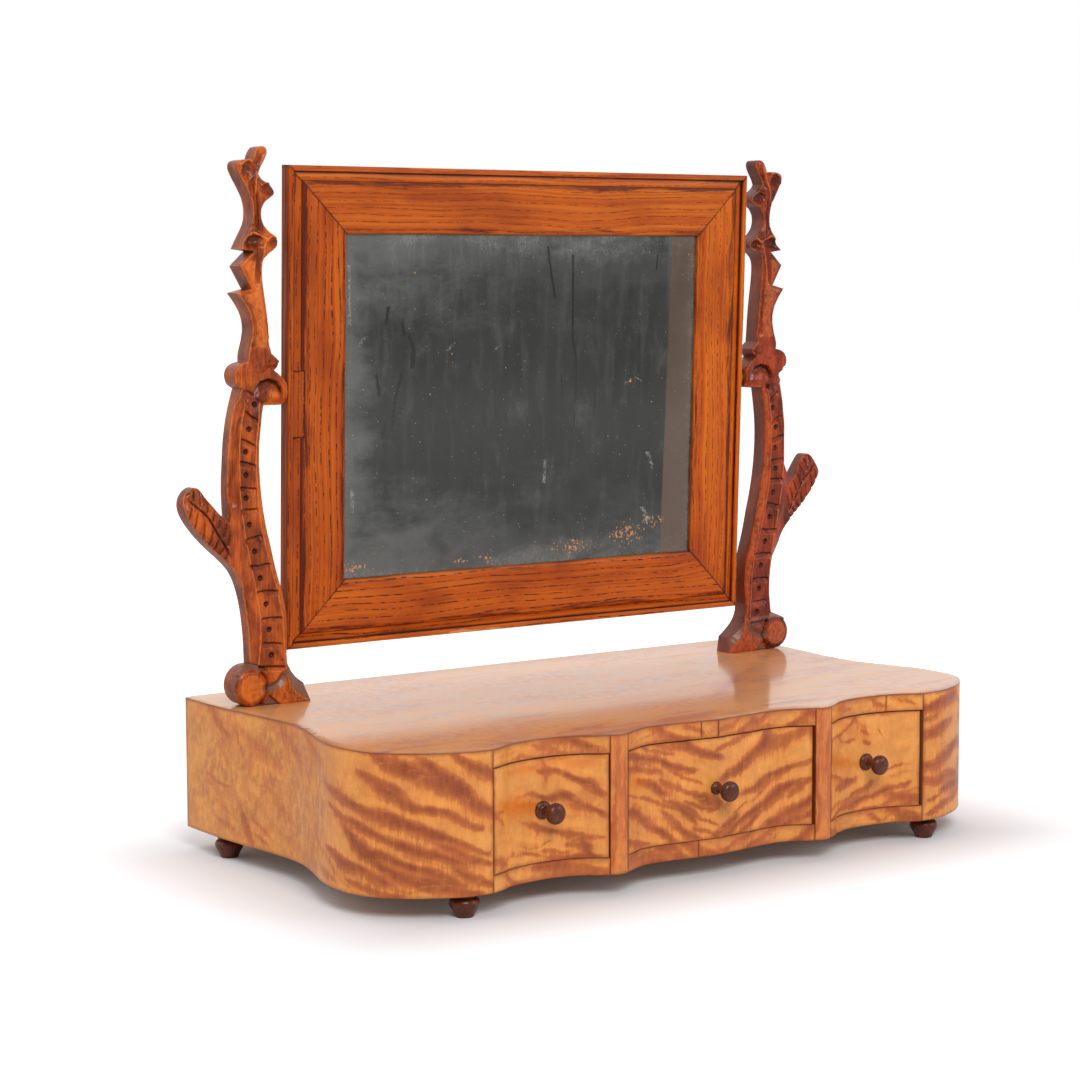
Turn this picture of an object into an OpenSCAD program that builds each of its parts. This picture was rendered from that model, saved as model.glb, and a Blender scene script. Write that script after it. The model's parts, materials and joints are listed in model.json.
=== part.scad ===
// Toilet mirror: a low serpentine case with three drawers, two carved posts and a tilting glass.
// Millimetres. +Z is up, the drawers face -Y, and the origin is on the table under the middle of the whole.

/* [Case] */
// How far the swell of each end reaches past the mirror frame
case_past_frame = 61.5; // [58:0.5:75]
// Depth of the case from its back to the ridges of the pilasters
case_d = 309.5; // [295:0.5:330]
// Thickness of the bottom board
bottom_t = 12; // [11:0.5:16]
// Thickness of the top board, without its veneer
top_t = 12.3; // [10:0.1:16]
// Thickness of the back board
back_t = 8; // [5:0.5:12]
// Thickness of the curved ends
side_t = 12; // [9:0.5:16]
// Thickness of the veneer on the top, ends, rails and drawers
veneer_t = 1.2; // [0.8:0.1:2]

/* [Front] */
// Height of the drawer openings
opening_h = 72; // [60:1:90]
// Width of the middle drawer's opening; the side drawers share what is left
centre_w = 168; // [150:1:180]
// Distance from the veneer seam beside a side drawer to the widest part of the end
shoulder_w = 79.5; // [72:0.5:88]
// Width of a pilaster and of the partition behind it
pilaster_w = 15; // [12:0.5:18]
// Thickness of a pilaster strip at its ridge
pilaster_t = 10; // [8:0.5:14]
// How far the hollows of the middle bay lie behind the ridges
centre_hollow = 13; // [9:0.5:15]
// How far the middle of the front lies behind the ridges
centre_in = 8; // [5:0.5:9]
// How far the hollow of a side bay lies behind the ridges
side_hollow = 18.5; // [14:0.5:21]
// How far the back corners lie in from the widest part of the ends
back_corner_in = 9; // [5:0.5:12]
// How far the veneer seam at the end of a side bay lies behind the ridges
seam_in = 6; // [4:0.5:8]

/* [Feet] */
// Height of the feet
foot_h = 16; // [13:0.5:22]
// Largest radius of a foot
foot_r = 10.5; // [8.5:0.5:12]
// Radius that a foot stands on
foot_base_r = 5.8; // [4:0.1:7]
// Radius of a foot's tenon
foot_tenon_r = 4; // [3:0.5:5]
// Length of a foot's tenon
foot_tenon_l = 10; // [6:0.5:10.5]
// How far a front foot's axis lies behind the ridges
front_foot_in = 19.5; // [18:0.5:26]
// How far a front foot's axis lies in from the widest part of the case
front_foot_side = 65; // [55:1:75]
// Distance of a back foot's axis from the back
back_foot_in = 45; // [30:1:60]
// How far a back foot's axis lies in from the widest part of the case
back_foot_side = 20; // [19:0.5:28]

/* [Drawers] */
// Thickness of a drawer front at its thinnest, without its veneer
front_t = 15; // [13:0.5:20]
// Thickness of the drawer sides
drawer_side_t = 8; // [6:0.5:10]
// Height of the drawer sides
drawer_side_h = 66; // [50:1:71]
// Thickness of the drawer backs
drawer_back_t = 8; // [6:0.5:10]
// Height of the drawer backs above the drawer bottoms
drawer_back_h = 50; // [36:1:56]
// Thickness of the drawer bottoms
drawer_bottom_t = 4; // [3:0.5:5]
// Height of a drawer bottom above the board that the drawer runs on
drawer_bottom_up = 6; // [3:0.5:9]
// Depth of the grooves for the drawer bottoms
groove_d = 3; // [2:0.5:4]
// Length of the dovetails that hold a side in its front
tail_l = 9; // [6:0.5:11]
// Gap above a drawer front
gap_top = 0.5; // [0.3:0.1:1]
// Gap on the left of each drawer front
gap_left = 0.6; // [0.4:0.1:1]
// Gap on the right of the left drawer's front
gap_right_l = 0.7; // [0.4:0.1:2]
// Gap on the right of the middle drawer's front, where the wood has shrunk
gap_right_c = 1.9; // [0.4:0.1:3]
// Gap on the right of the right drawer's front, where the wood has shrunk
gap_right_r = 2.4; // [0.4:0.1:3]
// Length of the blocks that stop the drawers
stop_l = 14; // [8:1:30]
// Width of the blocks that stop the drawers
stop_w = 16; // [8:1:24]
// Height of the blocks that stop the drawers
stop_h = 12; // [8:1:20]
// Thickness of the boards that guide the outer sides of the side drawers
guide_t = 8; // [6:0.5:10]

/* [Knobs] */
// Radius of a knob's head
knob_r = 7.3; // [5:0.1:9]
// Thickness of a knob's head
knob_head_t = 8.5; // [6:0.1:11]
// Length of a knob from the drawer front to the end of its head
knob_l = 20; // [16:0.1:26]
// Radius of the rosettes at the feet of the outer knobs
rosette_r = 6.3; // [4.5:0.1:8]
// Radius of the bead at the foot of the middle knob
bead_r = 4.7; // [4:0.1:6.5]
// Thickness of the rosettes and the bead
rosette_t = 3; // [2:0.1:4]
// Radius of the neck between the rosette and the head
neck_r = 2.9; // [2.3:0.1:3.5]
// Radius of a knob's tenon
knob_tenon_r = 3; // [2:0.1:4]
// Length of a knob's tenon in the drawer front
knob_tenon_l = 12; // [6:0.5:12.5]
// How far the left knob stands right of the middle of its drawer
knob_off_l = 1.5; // [0:0.5:5]
// How far the middle knob stands left of the middle of its drawer
knob_off_c = 3; // [0:0.5:5]
// How far the right knob stands right of the middle of its drawer
knob_off_r = 1; // [0:0.5:5]

/* [Posts] */
// Thickness of the posts
post_t = 19; // [15:0.5:22]
// Distance from the back of the case to the back of the posts
post_in = 52.5; // [40:0.5:90]
// Height of the pivots above the case
pivot_h = 225; // [215:1:240]
// Height of the posts' tips above the pivots
head_h = 175; // [150:1:200]
// Radius of the scroll at a post's foot
scroll_r = 15; // [12:0.5:16]
// Width of a post's tenon
tenon_w = 28; // [20:1:29]
// Thickness of a post's tenon
tenon_t = 10; // [6:0.5:12]

/* [Pivots] */
// Radius of the pivot pins
pin_r = 2.5; // [1.5:0.1:3.5]
// Length of a pivot pin inside its post
pin_in_post = 24; // [12:0.5:26]
// Length of a pivot pin inside the mirror frame
pin_in_frame = 15; // [8:0.5:20]
// Radius of the washers on the pins
washer_r = 5; // [4:0.1:5.5]
// Gap between the posts and the mirror frame, filled by the washers
pivot_gap = 2.5; // [1.5:0.1:4]
// Height of the pivots above the middle of the mirror frame
pivot_up = 12.7; // [5:0.1:30]
// Forward lean of the mirror at rest, in degrees
lean = 2; // [0:0.5:5]

/* [Mirror frame] */
// Width of the mirror frame
frame_w = 420; // [400:1:430]
// Height of the mirror frame
frame_h = 350; // [320:1:370]
// Thickness of the mirror frame
frame_t = 12; // [11.5:0.5:16]
// Width of each member of the frame
member_w = 48.5; // [40:0.5:60]
// Width of the frame's outer lip
lip_w = 4; // [3:0.1:5]
// Distance from the outer edge to the raised flat, with the lip and the cove
moulding_w = 10.8; // [9:0.1:14]
// Depth of the cove at the foot of the lip
cove_d = 2.8; // [1.5:0.1:4]
// How far the flat lies behind the front of the lip
flat_in = 0.6; // [0.3:0.1:1.2]
// Width of the bevel at the sight edge
sight_w = 3; // [2:0.1:5]
// How far the sight edge lies behind the front of the lip
sight_in = 2; // [1.5:0.1:3]
// Distance from the front of the lip to the front of the glass
glass_in = 4.2; // [3.5:0.1:5]
// Width of the rebate that holds the glass
rebate_w = 6; // [4:0.5:9]

/* [Glass and back] */
// Thickness of the glass
glass_t = 2.5; // [2:0.1:3]
// Thickness of the backboard
backboard_t = 3; // [2:0.1:3]
// Gap all round the glass and the backboard in their rebate
glass_gap = 0.5; // [0.3:0.1:1.5]
// Radius of the brads that hold the backboard
brad_r = 0.7; // [0.5:0.1:0.8]
// Length of a brad
brad_l = 14; // [10:1:20]
// Number of brads along each member
brad_count = 3; // [2:1:5]

/* [Hidden] */

round_fn = 64;
curve_steps = 4;
push_fit = 0.05;     // radial room round a glued or pressed tenon
seat_depth = 0.2;    // depth of the flat seats under the knobs
glue_line = 0.8;     // gap left between a flat board's end and a curved face
running_fit = 0.05;  // radial room round a turning pin
far = 400;           // longer than any cut

birch = "#d9954a";
birch_dark = "#b86f35";
pine = "#dcbc85";
strip_wood = "#c9774a";
stained = "#7d3a20";
ash = "#b5581f";
ebonised = "#33201a";
steel = "#8b8d90";
brass = "#b3924a";
glass = "#4a4e4c";

// Heights
run_z = foot_h + bottom_t;
roof_z = run_z + opening_h;
case_top_z = roof_z + top_t + veneer_t;
pivot_z = case_top_z + pivot_h;

// Places across the front, right half
half_w = frame_w / 2 + case_past_frame;
pilaster_x = centre_w / 2;
ridge_x = pilaster_x + pilaster_w / 2;
bay_x = pilaster_x + pilaster_w;
seam_x = half_w - shoulder_w;
side_w = seam_x - bay_x;

// Places along the depth, measured forward from the back of the case
total_d = case_d - centre_in - seat_depth + knob_l;
pilaster_back = case_d - pilaster_t;
stop_d = back_t + stop_l;
side_front_back = case_d - side_hollow - veneer_t - front_t;
centre_front_back = case_d - centre_hollow - veneer_t - front_t;
pivot_d = post_in + post_t / 2;

// Right half of the case's outline, from the middle to the seam and from there round the end and past the back:
// [distance from the middle, distance forward from the back]
front_outline = [
    [0, case_d - centre_in],
    [0.15 * centre_w, case_d - centre_in - 0.5 * (centre_hollow - centre_in)],
    [0.27 * centre_w, case_d - centre_hollow],
    [0.38 * centre_w, case_d - centre_hollow + 1],
    [pilaster_x - 5, case_d - 5],
    [ridge_x, case_d],
    [bay_x + 5, case_d - 5.5],
    [bay_x + 0.17 * side_w, case_d - side_hollow + 6],
    [bay_x + 0.32 * side_w, case_d - side_hollow + 1.3],
    [bay_x + 0.52 * side_w, case_d - side_hollow],
    [bay_x + 0.76 * side_w, case_d - side_hollow + 3],
    [seam_x - 10, case_d - seam_in - 3.8],
    [seam_x, case_d - seam_in]
];
end_outline = [
    [seam_x + 0.145 * shoulder_w, case_d - seam_in + 0.2],
    [seam_x + 0.285 * shoulder_w, case_d - 8],
    [seam_x + 0.435 * shoulder_w, case_d - 13],
    [seam_x + 0.61 * shoulder_w, case_d - 20.5],
    [seam_x + 0.79 * shoulder_w, case_d - 32.5],
    [half_w - 6.5, case_d - 46],
    [half_w - 1.3, case_d - 61],
    [half_w, case_d - 79],
    [half_w - 2.5, 0.68 * case_d],
    [half_w - 9, 0.61 * case_d],
    [half_w - 15, 0.54 * case_d],
    [half_w - 17.7, 0.475 * case_d],
    [half_w - 17.2, 0.41 * case_d],
    [half_w - 15, 0.34 * case_d],
    [half_w - 12.5, 0.27 * case_d],
    [half_w - 10.5, 0.2 * case_d],
    [half_w - 9.3, 0.13 * case_d],
    [half_w - back_corner_in, 0.065 * case_d],
    [half_w - back_corner_in, 0],
    [half_w - back_corner_in, -0.065 * case_d]
];

// Outline of a post, as smooth runs that meet at sharp corners, each point
// [distance out from the boss, height above the case], drawn for pivots 225 and tips 400 above the case
post_runs = [
    [[-13.5, 0], [31, 0]],
    [[29.5, 30], [30.2, 50], [32.5, 70], [36.5, 86.5], [42, 98], [51, 107.5], [62, 117.5], [72, 128.5],
     [79, 139], [81.3, 147], [79.5, 154], [74.5, 158.8], [69.5, 159.3], [65, 155], [57, 143.5],
     [51, 137.5], [46, 133.5]],
    [[45.4, 139], [45.9, 157], [45, 175], [43.3, 195], [40, 213], [35.5, 228.5]],
    [[36, 229], [40, 232], [41.8, 238], [40, 243.5], [35.5, 246.5], [31, 247.7]],
    [[30.8, 248.5], [30.5, 254], [28, 263], [26.8, 272], [28.5, 281], [32.5, 288.5], [38.5, 296.5]],
    [[27, 299.3], [36.2, 315.5]],
    [[24.8, 326], [35, 327.5]],
    [[34.5, 328.5], [30.5, 336], [25.7, 345], [24.3, 353.5], [25.7, 362.5], [29.5, 370.5], [33.5, 377.5],
     [36.5, 384], [35.8, 388.3], [31.5, 390.2], [23, 390.5]],
    [[22.5, 391.5], [21.3, 395], [18.5, 399], [15, 400], [12.3, 398.3], [12.2, 394.5], [14.5, 389.5],
     [17.5, 384.5], [19, 380.5]],
    [[18.3, 379.3], [16.5, 377], [11, 373], [7.5, 369.5], [7.2, 366.3], [10.5, 364], [15, 361], [18, 356],
     [18.4, 350.5], [16.8, 345], [13, 340.5], [8, 336.5], [5.2, 333], [5.6, 329.8], [9.5, 327], [14, 324],
     [17.3, 319.5], [18.2, 312], [17.3, 301], [15.8, 290], [14.3, 277], [13.3, 264], [12.5, 253.5]],
    [[6, 247.8], [7.5, 244.5], [10.5, 241.5]],
    [[9.8, 240.8], [6, 238], [2, 234], [0, 231]],
    [[0, 219], [1.5, 217.3], [5, 216.5], [18.5, 216.5]],
    [[18.7, 215.5], [20.3, 205], [22, 191], [22.5, 177], [21.9, 162], [20, 145], [17.3, 130], [13.5, 114.5],
     [9.8, 98], [5.8, 84], [2.5, 70], [1.5, 56], [2.3, 42], [2.8, 33], [0, 26], [-5.5, 20], [-12, 14.5]]
];
drawn_pivot_h = 225;
drawn_head_h = 175;
scroll_x = 31;       // the scroll's centre, out from the boss
tenon_x = 17;        // the middle of the tenon, out from the boss

// ---- curves ----

// Point at share t of the span after point i of a smooth curve through the points p
function spline_point(p, i, t) =
    let (a = p[max(i - 1, 0)], b = p[i], c = p[i + 1], d = p[min(i + 2, len(p) - 1)])
    0.5 * (2 * b + (c - a) * t + (2 * a - 5 * b + 4 * c - d) * t * t + (3 * b - a - 3 * c + d) * t * t * t);

// Smooth curve through the points p, with so many steps in each span
function spline(p, steps) = len(p) < 3 ? p :
    concat([for (i = [0 : len(p) - 2]) for (k = [0 : steps - 1]) spline_point(p, i, k / steps)], [p[len(p) - 1]]);

// Path moved to its left by d
function inset(path, d) = [for (i = [0 : len(path) - 1])
    let (along = path[min(i + 1, len(path) - 1)] - path[max(i - 1, 0)], n = along / norm(along))
    path[i] + d * [-n[1], n[0]]];

// Right half of the case's outline, from the middle of the front to behind the right back corner
function half_path() = spline([for (p = concat(front_outline, end_outline)) [p[0], -p[1]]], curve_steps);

// The case's outline from behind its left back corner round the front to behind its right back corner
function case_path() =
    let (right = half_path(), last = len(right) - 1)
    concat([for (i = [last : -1 : 1]) [-right[i][0], right[i][1]]], right);

// The part of the right half that goes round the end, with a little of the front before the seam
function end_path() =
    let (right = half_path())
    [for (i = [(len(front_outline) - 2) * curve_steps : len(right) - 1]) right[i]];

// Height on a post drawn at w, stretched to the pivots and the tips that are asked for
function post_height(w) = w <= drawn_pivot_h
    ? w * pivot_h / drawn_pivot_h
    : pivot_h + (w - drawn_pivot_h) * head_h / drawn_head_h;

function post_outline() = [for (run = post_runs) for (p = spline(run, 3)) [p[0], post_height(p[1])]];

// ---- shared shapes ----

// Puts what is drawn from the back of the case, with -Y forward, in its place
module from_back() {
    translate([0, total_d / 2, 0]) children();
}

// Strip of the plan between two distances from the middle and two distances from the back
module strip(x0, x1, d0 = 0, d1 = far) {
    translate([x0, -d1]) square([x1 - x0, d1 - d0]);
}

// The case's plan, taken in by d on the front and the ends
module case_area(d) {
    intersection() {
        polygon(inset(case_path(), d));
        strip(-far, far);
    }
}

// Skin that follows the outline, from d0 to d1 inside it, within a strip
module skin(d0, d1, x0, x1) {
    intersection() {
        difference() {
            polygon(inset(case_path(), d0));
            polygon(inset(case_path(), d1));
        }
        strip(x0, x1);
    }
}

// Raises a plan from z0 to z1, in its place
module slab(z0, z1) {
    from_back() translate([0, 0, z0]) linear_extrude(z1 - z0) children();
}

// Upright or lying box between two corners, measured from the back of the case
module board(x0, x1, d0, d1, z0, z1) {
    slab(z0, z1) strip(x0, x1, d0, d1);
}

// ---- case ----

module case_board(z0, z1) {
    slab(z0, z1) difference() {
        case_area(veneer_t);
        for (s = [-1, 1])
            strip(s * ridge_x - pilaster_w / 2, s * ridge_x + pilaster_w / 2, pilaster_back);
    }
}

module case_bottom() {
    color(pine) difference() {
        case_board(foot_h, run_z);
        for (side = [-1, 1], front = [0, 1]) at_foot(side, front)
            translate([0, 0, foot_h - 1]) cylinder(h = foot_tenon_l + 1, r = foot_tenon_r + push_fit, $fn = round_fn);
    }
}

module case_top() {
    color(pine) difference() {
        case_board(roof_z, roof_z + top_t);
        mortises(roof_z - 1, case_top_z + 1);
    }
}

module mortises(z0, z1) {
    for (side = [-1, 1])
        post_tenon(side, push_fit, z0, z1);
}

module case_back() {
    inner_w = half_w - back_corner_in - veneer_t - side_t - glue_line;
    color(pine) board(-inner_w, inner_w, 0, back_t, run_z, roof_z);
}

module side(s) {
    outer = inset(end_path(), veneer_t);
    inner = inset(end_path(), veneer_t + side_t);
    color(pine) slab(run_z, roof_z) mirror([s < 0 ? 1 : 0, 0]) intersection() {
        polygon(concat(outer, [for (i = [len(inner) - 1 : -1 : 0]) inner[i]]));
        strip(seam_x, far);
    }
}

module partition(s) {
    color(pine) board(s * ridge_x - pilaster_w / 2, s * ridge_x + pilaster_w / 2, back_t, pilaster_back, run_z, roof_z);
}

module pilaster(s) {
    color(strip_wood) slab(foot_h, roof_z + top_t) intersection() {
        case_area(0);
        strip(s * ridge_x - pilaster_w / 2, s * ridge_x + pilaster_w / 2, pilaster_back);
    }
}

module guide(s) {
    x = seam_x + guide_t / 2;
    front = case_d - seam_in - veneer_t - side_t - glue_line;
    color(pine) board(s * x - guide_t / 2, s * x + guide_t / 2, back_t, front, run_z, roof_z);
}

// Two blocks behind each drawer
module drawer_stops() {
    color(pine) for (bay = [[-seam_x, -bay_x], [-pilaster_x, pilaster_x], [bay_x, seam_x]], end = [0, 1]) {
        x = end == 0 ? bay[0] + 4 : bay[1] - 4 - stop_w;
        board(x, x + stop_w, back_t, stop_d, run_z, run_z + stop_h);
    }
}

// ---- veneers ----

module top_veneer() {
    color(birch) difference() {
        slab(roof_z + top_t, case_top_z) case_area(0);
        mortises(roof_z, case_top_z + 1);
    }
}

module side_veneer(s) {
    color(birch) slab(foot_h, roof_z + top_t)
        skin(0, veneer_t, s > 0 ? seam_x : -far, s > 0 ? far : -seam_x);
}

// Three lengths of veneer between the pilasters and the seams
module rail_veneer(z0, z1) {
    color(birch_dark) for (bay = [[-seam_x, -bay_x], [-pilaster_x, pilaster_x], [bay_x, seam_x]])
        slab(z0, z1) skin(0, veneer_t, bay[0], bay[1]);
}

// ---- feet ----

module at_foot(side, front) {
    x = half_w - (front == 1 ? front_foot_side : back_foot_side);
    d = front == 1 ? case_d - front_foot_in : back_foot_in;
    from_back() translate([side * x, -d, 0]) children();
}

// Turned foot: a short neck under the case, a flattened ball and a small flat base
module foot(side, front) {
    collar_r = foot_r - 2;
    collar_t = 2;
    waist_z = foot_h - collar_t - 1;
    ball_z = 0.55 * foot_h;
    profile = concat(
        [[0, 0], [foot_base_r, 0]],
        spline([[foot_base_r, 0], [foot_r - 2, 0.25 * foot_h], [foot_r, ball_z], [foot_r - 1.2, waist_z - 1.5],
                [foot_r - 3, waist_z]], 4),
        [[collar_r, foot_h - collar_t], [collar_r, foot_h], [foot_tenon_r, foot_h],
         [foot_tenon_r, foot_h + foot_tenon_l - 0.5], [0, foot_h + foot_tenon_l - 0.5]]);
    color(ebonised) at_foot(side, front) rotate_extrude($fn = round_fn) polygon(profile);
}

// ---- drawers ----

LEFT = 0;
CENTRE = 1;
RIGHT = 2;

// Left and right edges of a drawer, and the plane at the back of its front
function drawer_x0(i) = [-seam_x, -pilaster_x, bay_x][i] + gap_left;
function drawer_x1(i) = [-bay_x, pilaster_x, seam_x][i] - [gap_right_l, gap_right_c, gap_right_r][i];
function front_back(i) = i == CENTRE ? centre_front_back : side_front_back;
function knob_x(i) = [-(bay_x + side_w / 2) + knob_off_l, -knob_off_c, bay_x + side_w / 2 + knob_off_r][i];
function knob_foot_r(i) = i == CENTRE ? bead_r : rosette_r;

// Plane of the flat seat for a knob's foot
function knob_d(i) = (i == CENTRE ? case_d - centre_in : case_d - side_hollow) - seat_depth;

bottom_z = run_z + drawer_bottom_up;

// The drawer's bottom panel, which also cuts the grooves that hold it
module bottom_panel(i) {
    board(drawer_x0(i) + drawer_side_t - groove_d, drawer_x1(i) - drawer_side_t + groove_d,
          stop_d, front_back(i) + groove_d, bottom_z, bottom_z + drawer_bottom_t);
}

// One side's board with its dovetails; end 0 is on the left, 1 on the right
module side_board(i, end) {
    x = end == 0 ? drawer_x0(i) : drawer_x1(i) - drawer_side_t;
    tails = 3;
    pitch = drawer_side_h / tails;
    from_back() translate([x, 0, run_z]) rotate([90, 0, 90]) linear_extrude(drawer_side_t) {
        translate([-front_back(i), 0]) square([front_back(i) - stop_d, drawer_side_h]);
        for (k = [0 : tails - 1]) translate([-front_back(i), (k + 0.5) * pitch])
            polygon([[0.01, -0.26 * pitch], [0.01, 0.26 * pitch], [-tail_l, 0.36 * pitch], [-tail_l, -0.36 * pitch]]);
    }
}

// Hole for a knob's tenon, with a flat seat for its foot
module knob_socket(i) {
    at_knob(i) {
        translate([0, 0, -knob_tenon_l - push_fit])
            cylinder(h = knob_tenon_l + knob_l, r = knob_tenon_r + push_fit, $fn = round_fn);
        cylinder(h = knob_l, r = knob_foot_r(i) + push_fit, $fn = round_fn);
    }
}

module drawer_front(i) {
    color(pine) difference() {
        slab(run_z, roof_z - gap_top) intersection() {
            case_area(veneer_t);
            strip(drawer_x0(i), drawer_x1(i), front_back(i));
        }
        side_board(i, 0);
        side_board(i, 1);
        bottom_panel(i);
        knob_socket(i);
    }
}

module drawer_veneer(i) {
    color(birch) difference() {
        slab(run_z, roof_z - gap_top) skin(0, veneer_t, drawer_x0(i), drawer_x1(i));
        knob_socket(i);
    }
}

module drawer_side(i, end) {
    color(pine) difference() {
        side_board(i, end);
        bottom_panel(i);
    }
}

module drawer_back(i) {
    z0 = bottom_z + drawer_bottom_t;
    color(pine) board(drawer_x0(i) + drawer_side_t, drawer_x1(i) - drawer_side_t,
                      stop_d, stop_d + drawer_back_t, z0, z0 + drawer_back_h);
}

module drawer_bottom(i) {
    color(pine) bottom_panel(i);
}

// Puts what is drawn upwards from a knob's seat in its place, pointing forward
module at_knob(i) {
    from_back() translate([knob_x(i), -knob_d(i), run_z + opening_h / 2]) rotate([90, 0, 0]) children();
}

// Turned knob: tenon, rosette or bead, waisted neck and a head like a flattened ball
module knob(i) {
    foot_radius = knob_foot_r(i);
    head_z = knob_l - knob_head_t;
    profile = concat(
        [[0, -knob_tenon_l], [knob_tenon_r, -knob_tenon_l], [knob_tenon_r, 0]],
        spline([[foot_radius - 0.5, 0], [foot_radius, 0.25 * rosette_t], [foot_radius - 0.1, 0.65 * rosette_t],
                [foot_radius - 1, rosette_t], [neck_r + 0.5, rosette_t + 0.5]], 3),
        spline([[neck_r, rosette_t + 1.5], [neck_r, head_z - 3], [neck_r + 0.6, head_z - 1], [0.68 * knob_r, head_z + 0.8],
                [0.95 * knob_r, head_z + 0.28 * knob_head_t], [knob_r, head_z + 0.48 * knob_head_t],
                [0.95 * knob_r, head_z + 0.67 * knob_head_t], [0.78 * knob_r, head_z + 0.84 * knob_head_t],
                [0.5 * knob_r, head_z + 0.95 * knob_head_t], [0.2 * knob_r, knob_l - 0.05]], 3),
        [[0, knob_l]]);
    color(ebonised) at_knob(i) rotate_extrude($fn = round_fn) polygon(profile);
}

// ---- posts and pivots ----

// Puts what is drawn outwards from a post's boss, with Z up, on the right post, or on the left one mirrored
module at_post(side) {
    from_back() mirror([side < 0 ? 1 : 0, 0, 0])
        translate([frame_w / 2 + pivot_gap, -post_in, case_top_z]) children();
}

module post_tenon(side, room, z0, z1) {
    at_post(side) translate([tenon_x - tenon_w / 2 - room, -(post_t + tenon_t) / 2 - room, z0 - case_top_z])
        cube([tenon_w + 2 * room, tenon_t + 2 * room, z1 - z0]);
}

module post(side) {
    edge = 4;
    scroll = [[0, 0], [scroll_r - edge / 2, 0], [scroll_r, edge / 2], [scroll_r, post_t - edge],
              [scroll_r - 1.3, post_t - 1.3], [scroll_r - edge, post_t], [0, post_t]];
    color(stained) difference() {
        union() {
            at_post(side) rotate([90, 0, 0]) linear_extrude(post_t) polygon(post_outline());
            at_post(side) translate([scroll_x, 0, scroll_r]) rotate([90, 0, 0])
                rotate_extrude($fn = round_fn) polygon(scroll);
            post_tenon(side, 0, roof_z, case_top_z + 1);
        }
        at_post(side) translate([-1, -post_t / 2, pivot_h]) rotate([0, 90, 0])
            cylinder(h = pin_in_post + 1, r = pin_r + push_fit, $fn = round_fn);
    }
}

module pivot_pin(side) {
    color(steel) at_post(side) translate([-pivot_gap - pin_in_frame, -post_t / 2, pivot_h]) rotate([0, 90, 0])
        cylinder(h = pin_in_frame + pivot_gap + pin_in_post, r = pin_r, $fn = round_fn);
}

module pivot_washer(side) {
    color(brass) at_post(side) translate([-pivot_gap, -post_t / 2, pivot_h]) rotate([0, 90, 0]) difference() {
        cylinder(h = pivot_gap, r = washer_r, $fn = round_fn);
        translate([0, 0, -1]) cylinder(h = pivot_gap + 2, r = pin_r + push_fit, $fn = round_fn);
    }
}

// ---- mirror ----

// Puts what is drawn about the middle of the frame, half its thickness each way along Y, on the leaning mirror
module on_mirror() {
    from_back() translate([0, -pivot_d, pivot_z]) rotate([lean, 0, 0]) translate([0, 0, -pivot_up]) children();
}

// Section of a frame member: [distance in from the outer edge, minus the distance behind the lip's front]
function member_section() = concat(
    [[0, -frame_t], [0, -1.2], [0.4, -0.4], [1.2, 0], [lip_w - 0.6, 0], [lip_w, -0.5], [lip_w, -cove_d]],
    [for (a = [10 : 16 : 90]) [lip_w + (moulding_w - lip_w) * sin(a), -flat_in - (cove_d - flat_in) * cos(a)]],
    [[moulding_w, -flat_in], [member_w - sight_w, -flat_in], [member_w, -sight_in], [member_w, -glass_in],
     [member_w - rebate_w, -glass_in], [member_w - rebate_w, -frame_t]]);

// Member on the edge that the angle turns to: 0 bottom, 90 left, 180 top, 270 right
module member(turn, length, half) {
    color(ash) difference() {
        on_mirror() rotate([0, turn, 0]) translate([0, -frame_t / 2, -half]) rotate([90, 0, 0]) intersection() {
            translate([-length / 2, 0, 0]) rotate([90, 0, 90]) linear_extrude(length) polygon(member_section());
            translate([0, 0, -frame_t - 1]) linear_extrude(frame_t + 2)
                polygon([[-length / 2, 0], [length / 2, 0], [length / 2 - member_w, member_w],
                         [-length / 2 + member_w, member_w]]);
        }
        brads(push_fit, turn);
    }
}

// Hole in a stile for its pivot pin
module pin_hole(side) {
    on_mirror() translate([side * (frame_w / 2 + 1), 0, pivot_up]) rotate([0, -side * 90, 0])
        cylinder(h = pin_in_frame + 1.5, r = pin_r + running_fit, $fn = round_fn);
}

module stile(side) {
    difference() {
        member(side < 0 ? 90 : 270, frame_h, frame_w / 2);
        color(ash) pin_hole(side);
    }
}

// Flat pane in the rebate, from d0 to d1 behind the front of the lip
module pane(d0, d1) {
    w = frame_w - 2 * (member_w - rebate_w + glass_gap);
    h = frame_h - 2 * (member_w - rebate_w + glass_gap);
    on_mirror() translate([-w / 2, d0 - frame_t / 2, -h / 2]) cube([w, d1 - d0, h]);
}

module mirror_glass() {
    color(glass) pane(glass_in, glass_in + glass_t);
}

module backboard() {
    color(pine) pane(glass_in + glass_t, glass_in + glass_t + backboard_t);
}

// Brads along one member, flat on the backboard, half their length in the wall of the rebate
module brads(room, turn) {
    d = glass_in + glass_t + backboard_t + brad_r - frame_t / 2;
    upright = turn % 180 == 90;
    along = (upright ? frame_h : frame_w) / 2 - member_w + rebate_w;
    across = (upright ? frame_w : frame_h) / 2 - member_w + rebate_w;
    on_mirror() rotate([0, turn, 0]) for (k = [1 : brad_count])
        translate([along * (2 * k / (brad_count + 1) - 1), d, -across - brad_l / 2 - room])
            cylinder(h = brad_l + room, r = brad_r + room, $fn = 16);
}

module glazing_brads() {
    color(steel) for (turn = [0 : 90 : 270])
        brads(0, turn);
}

// ---- assembly ----

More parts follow.
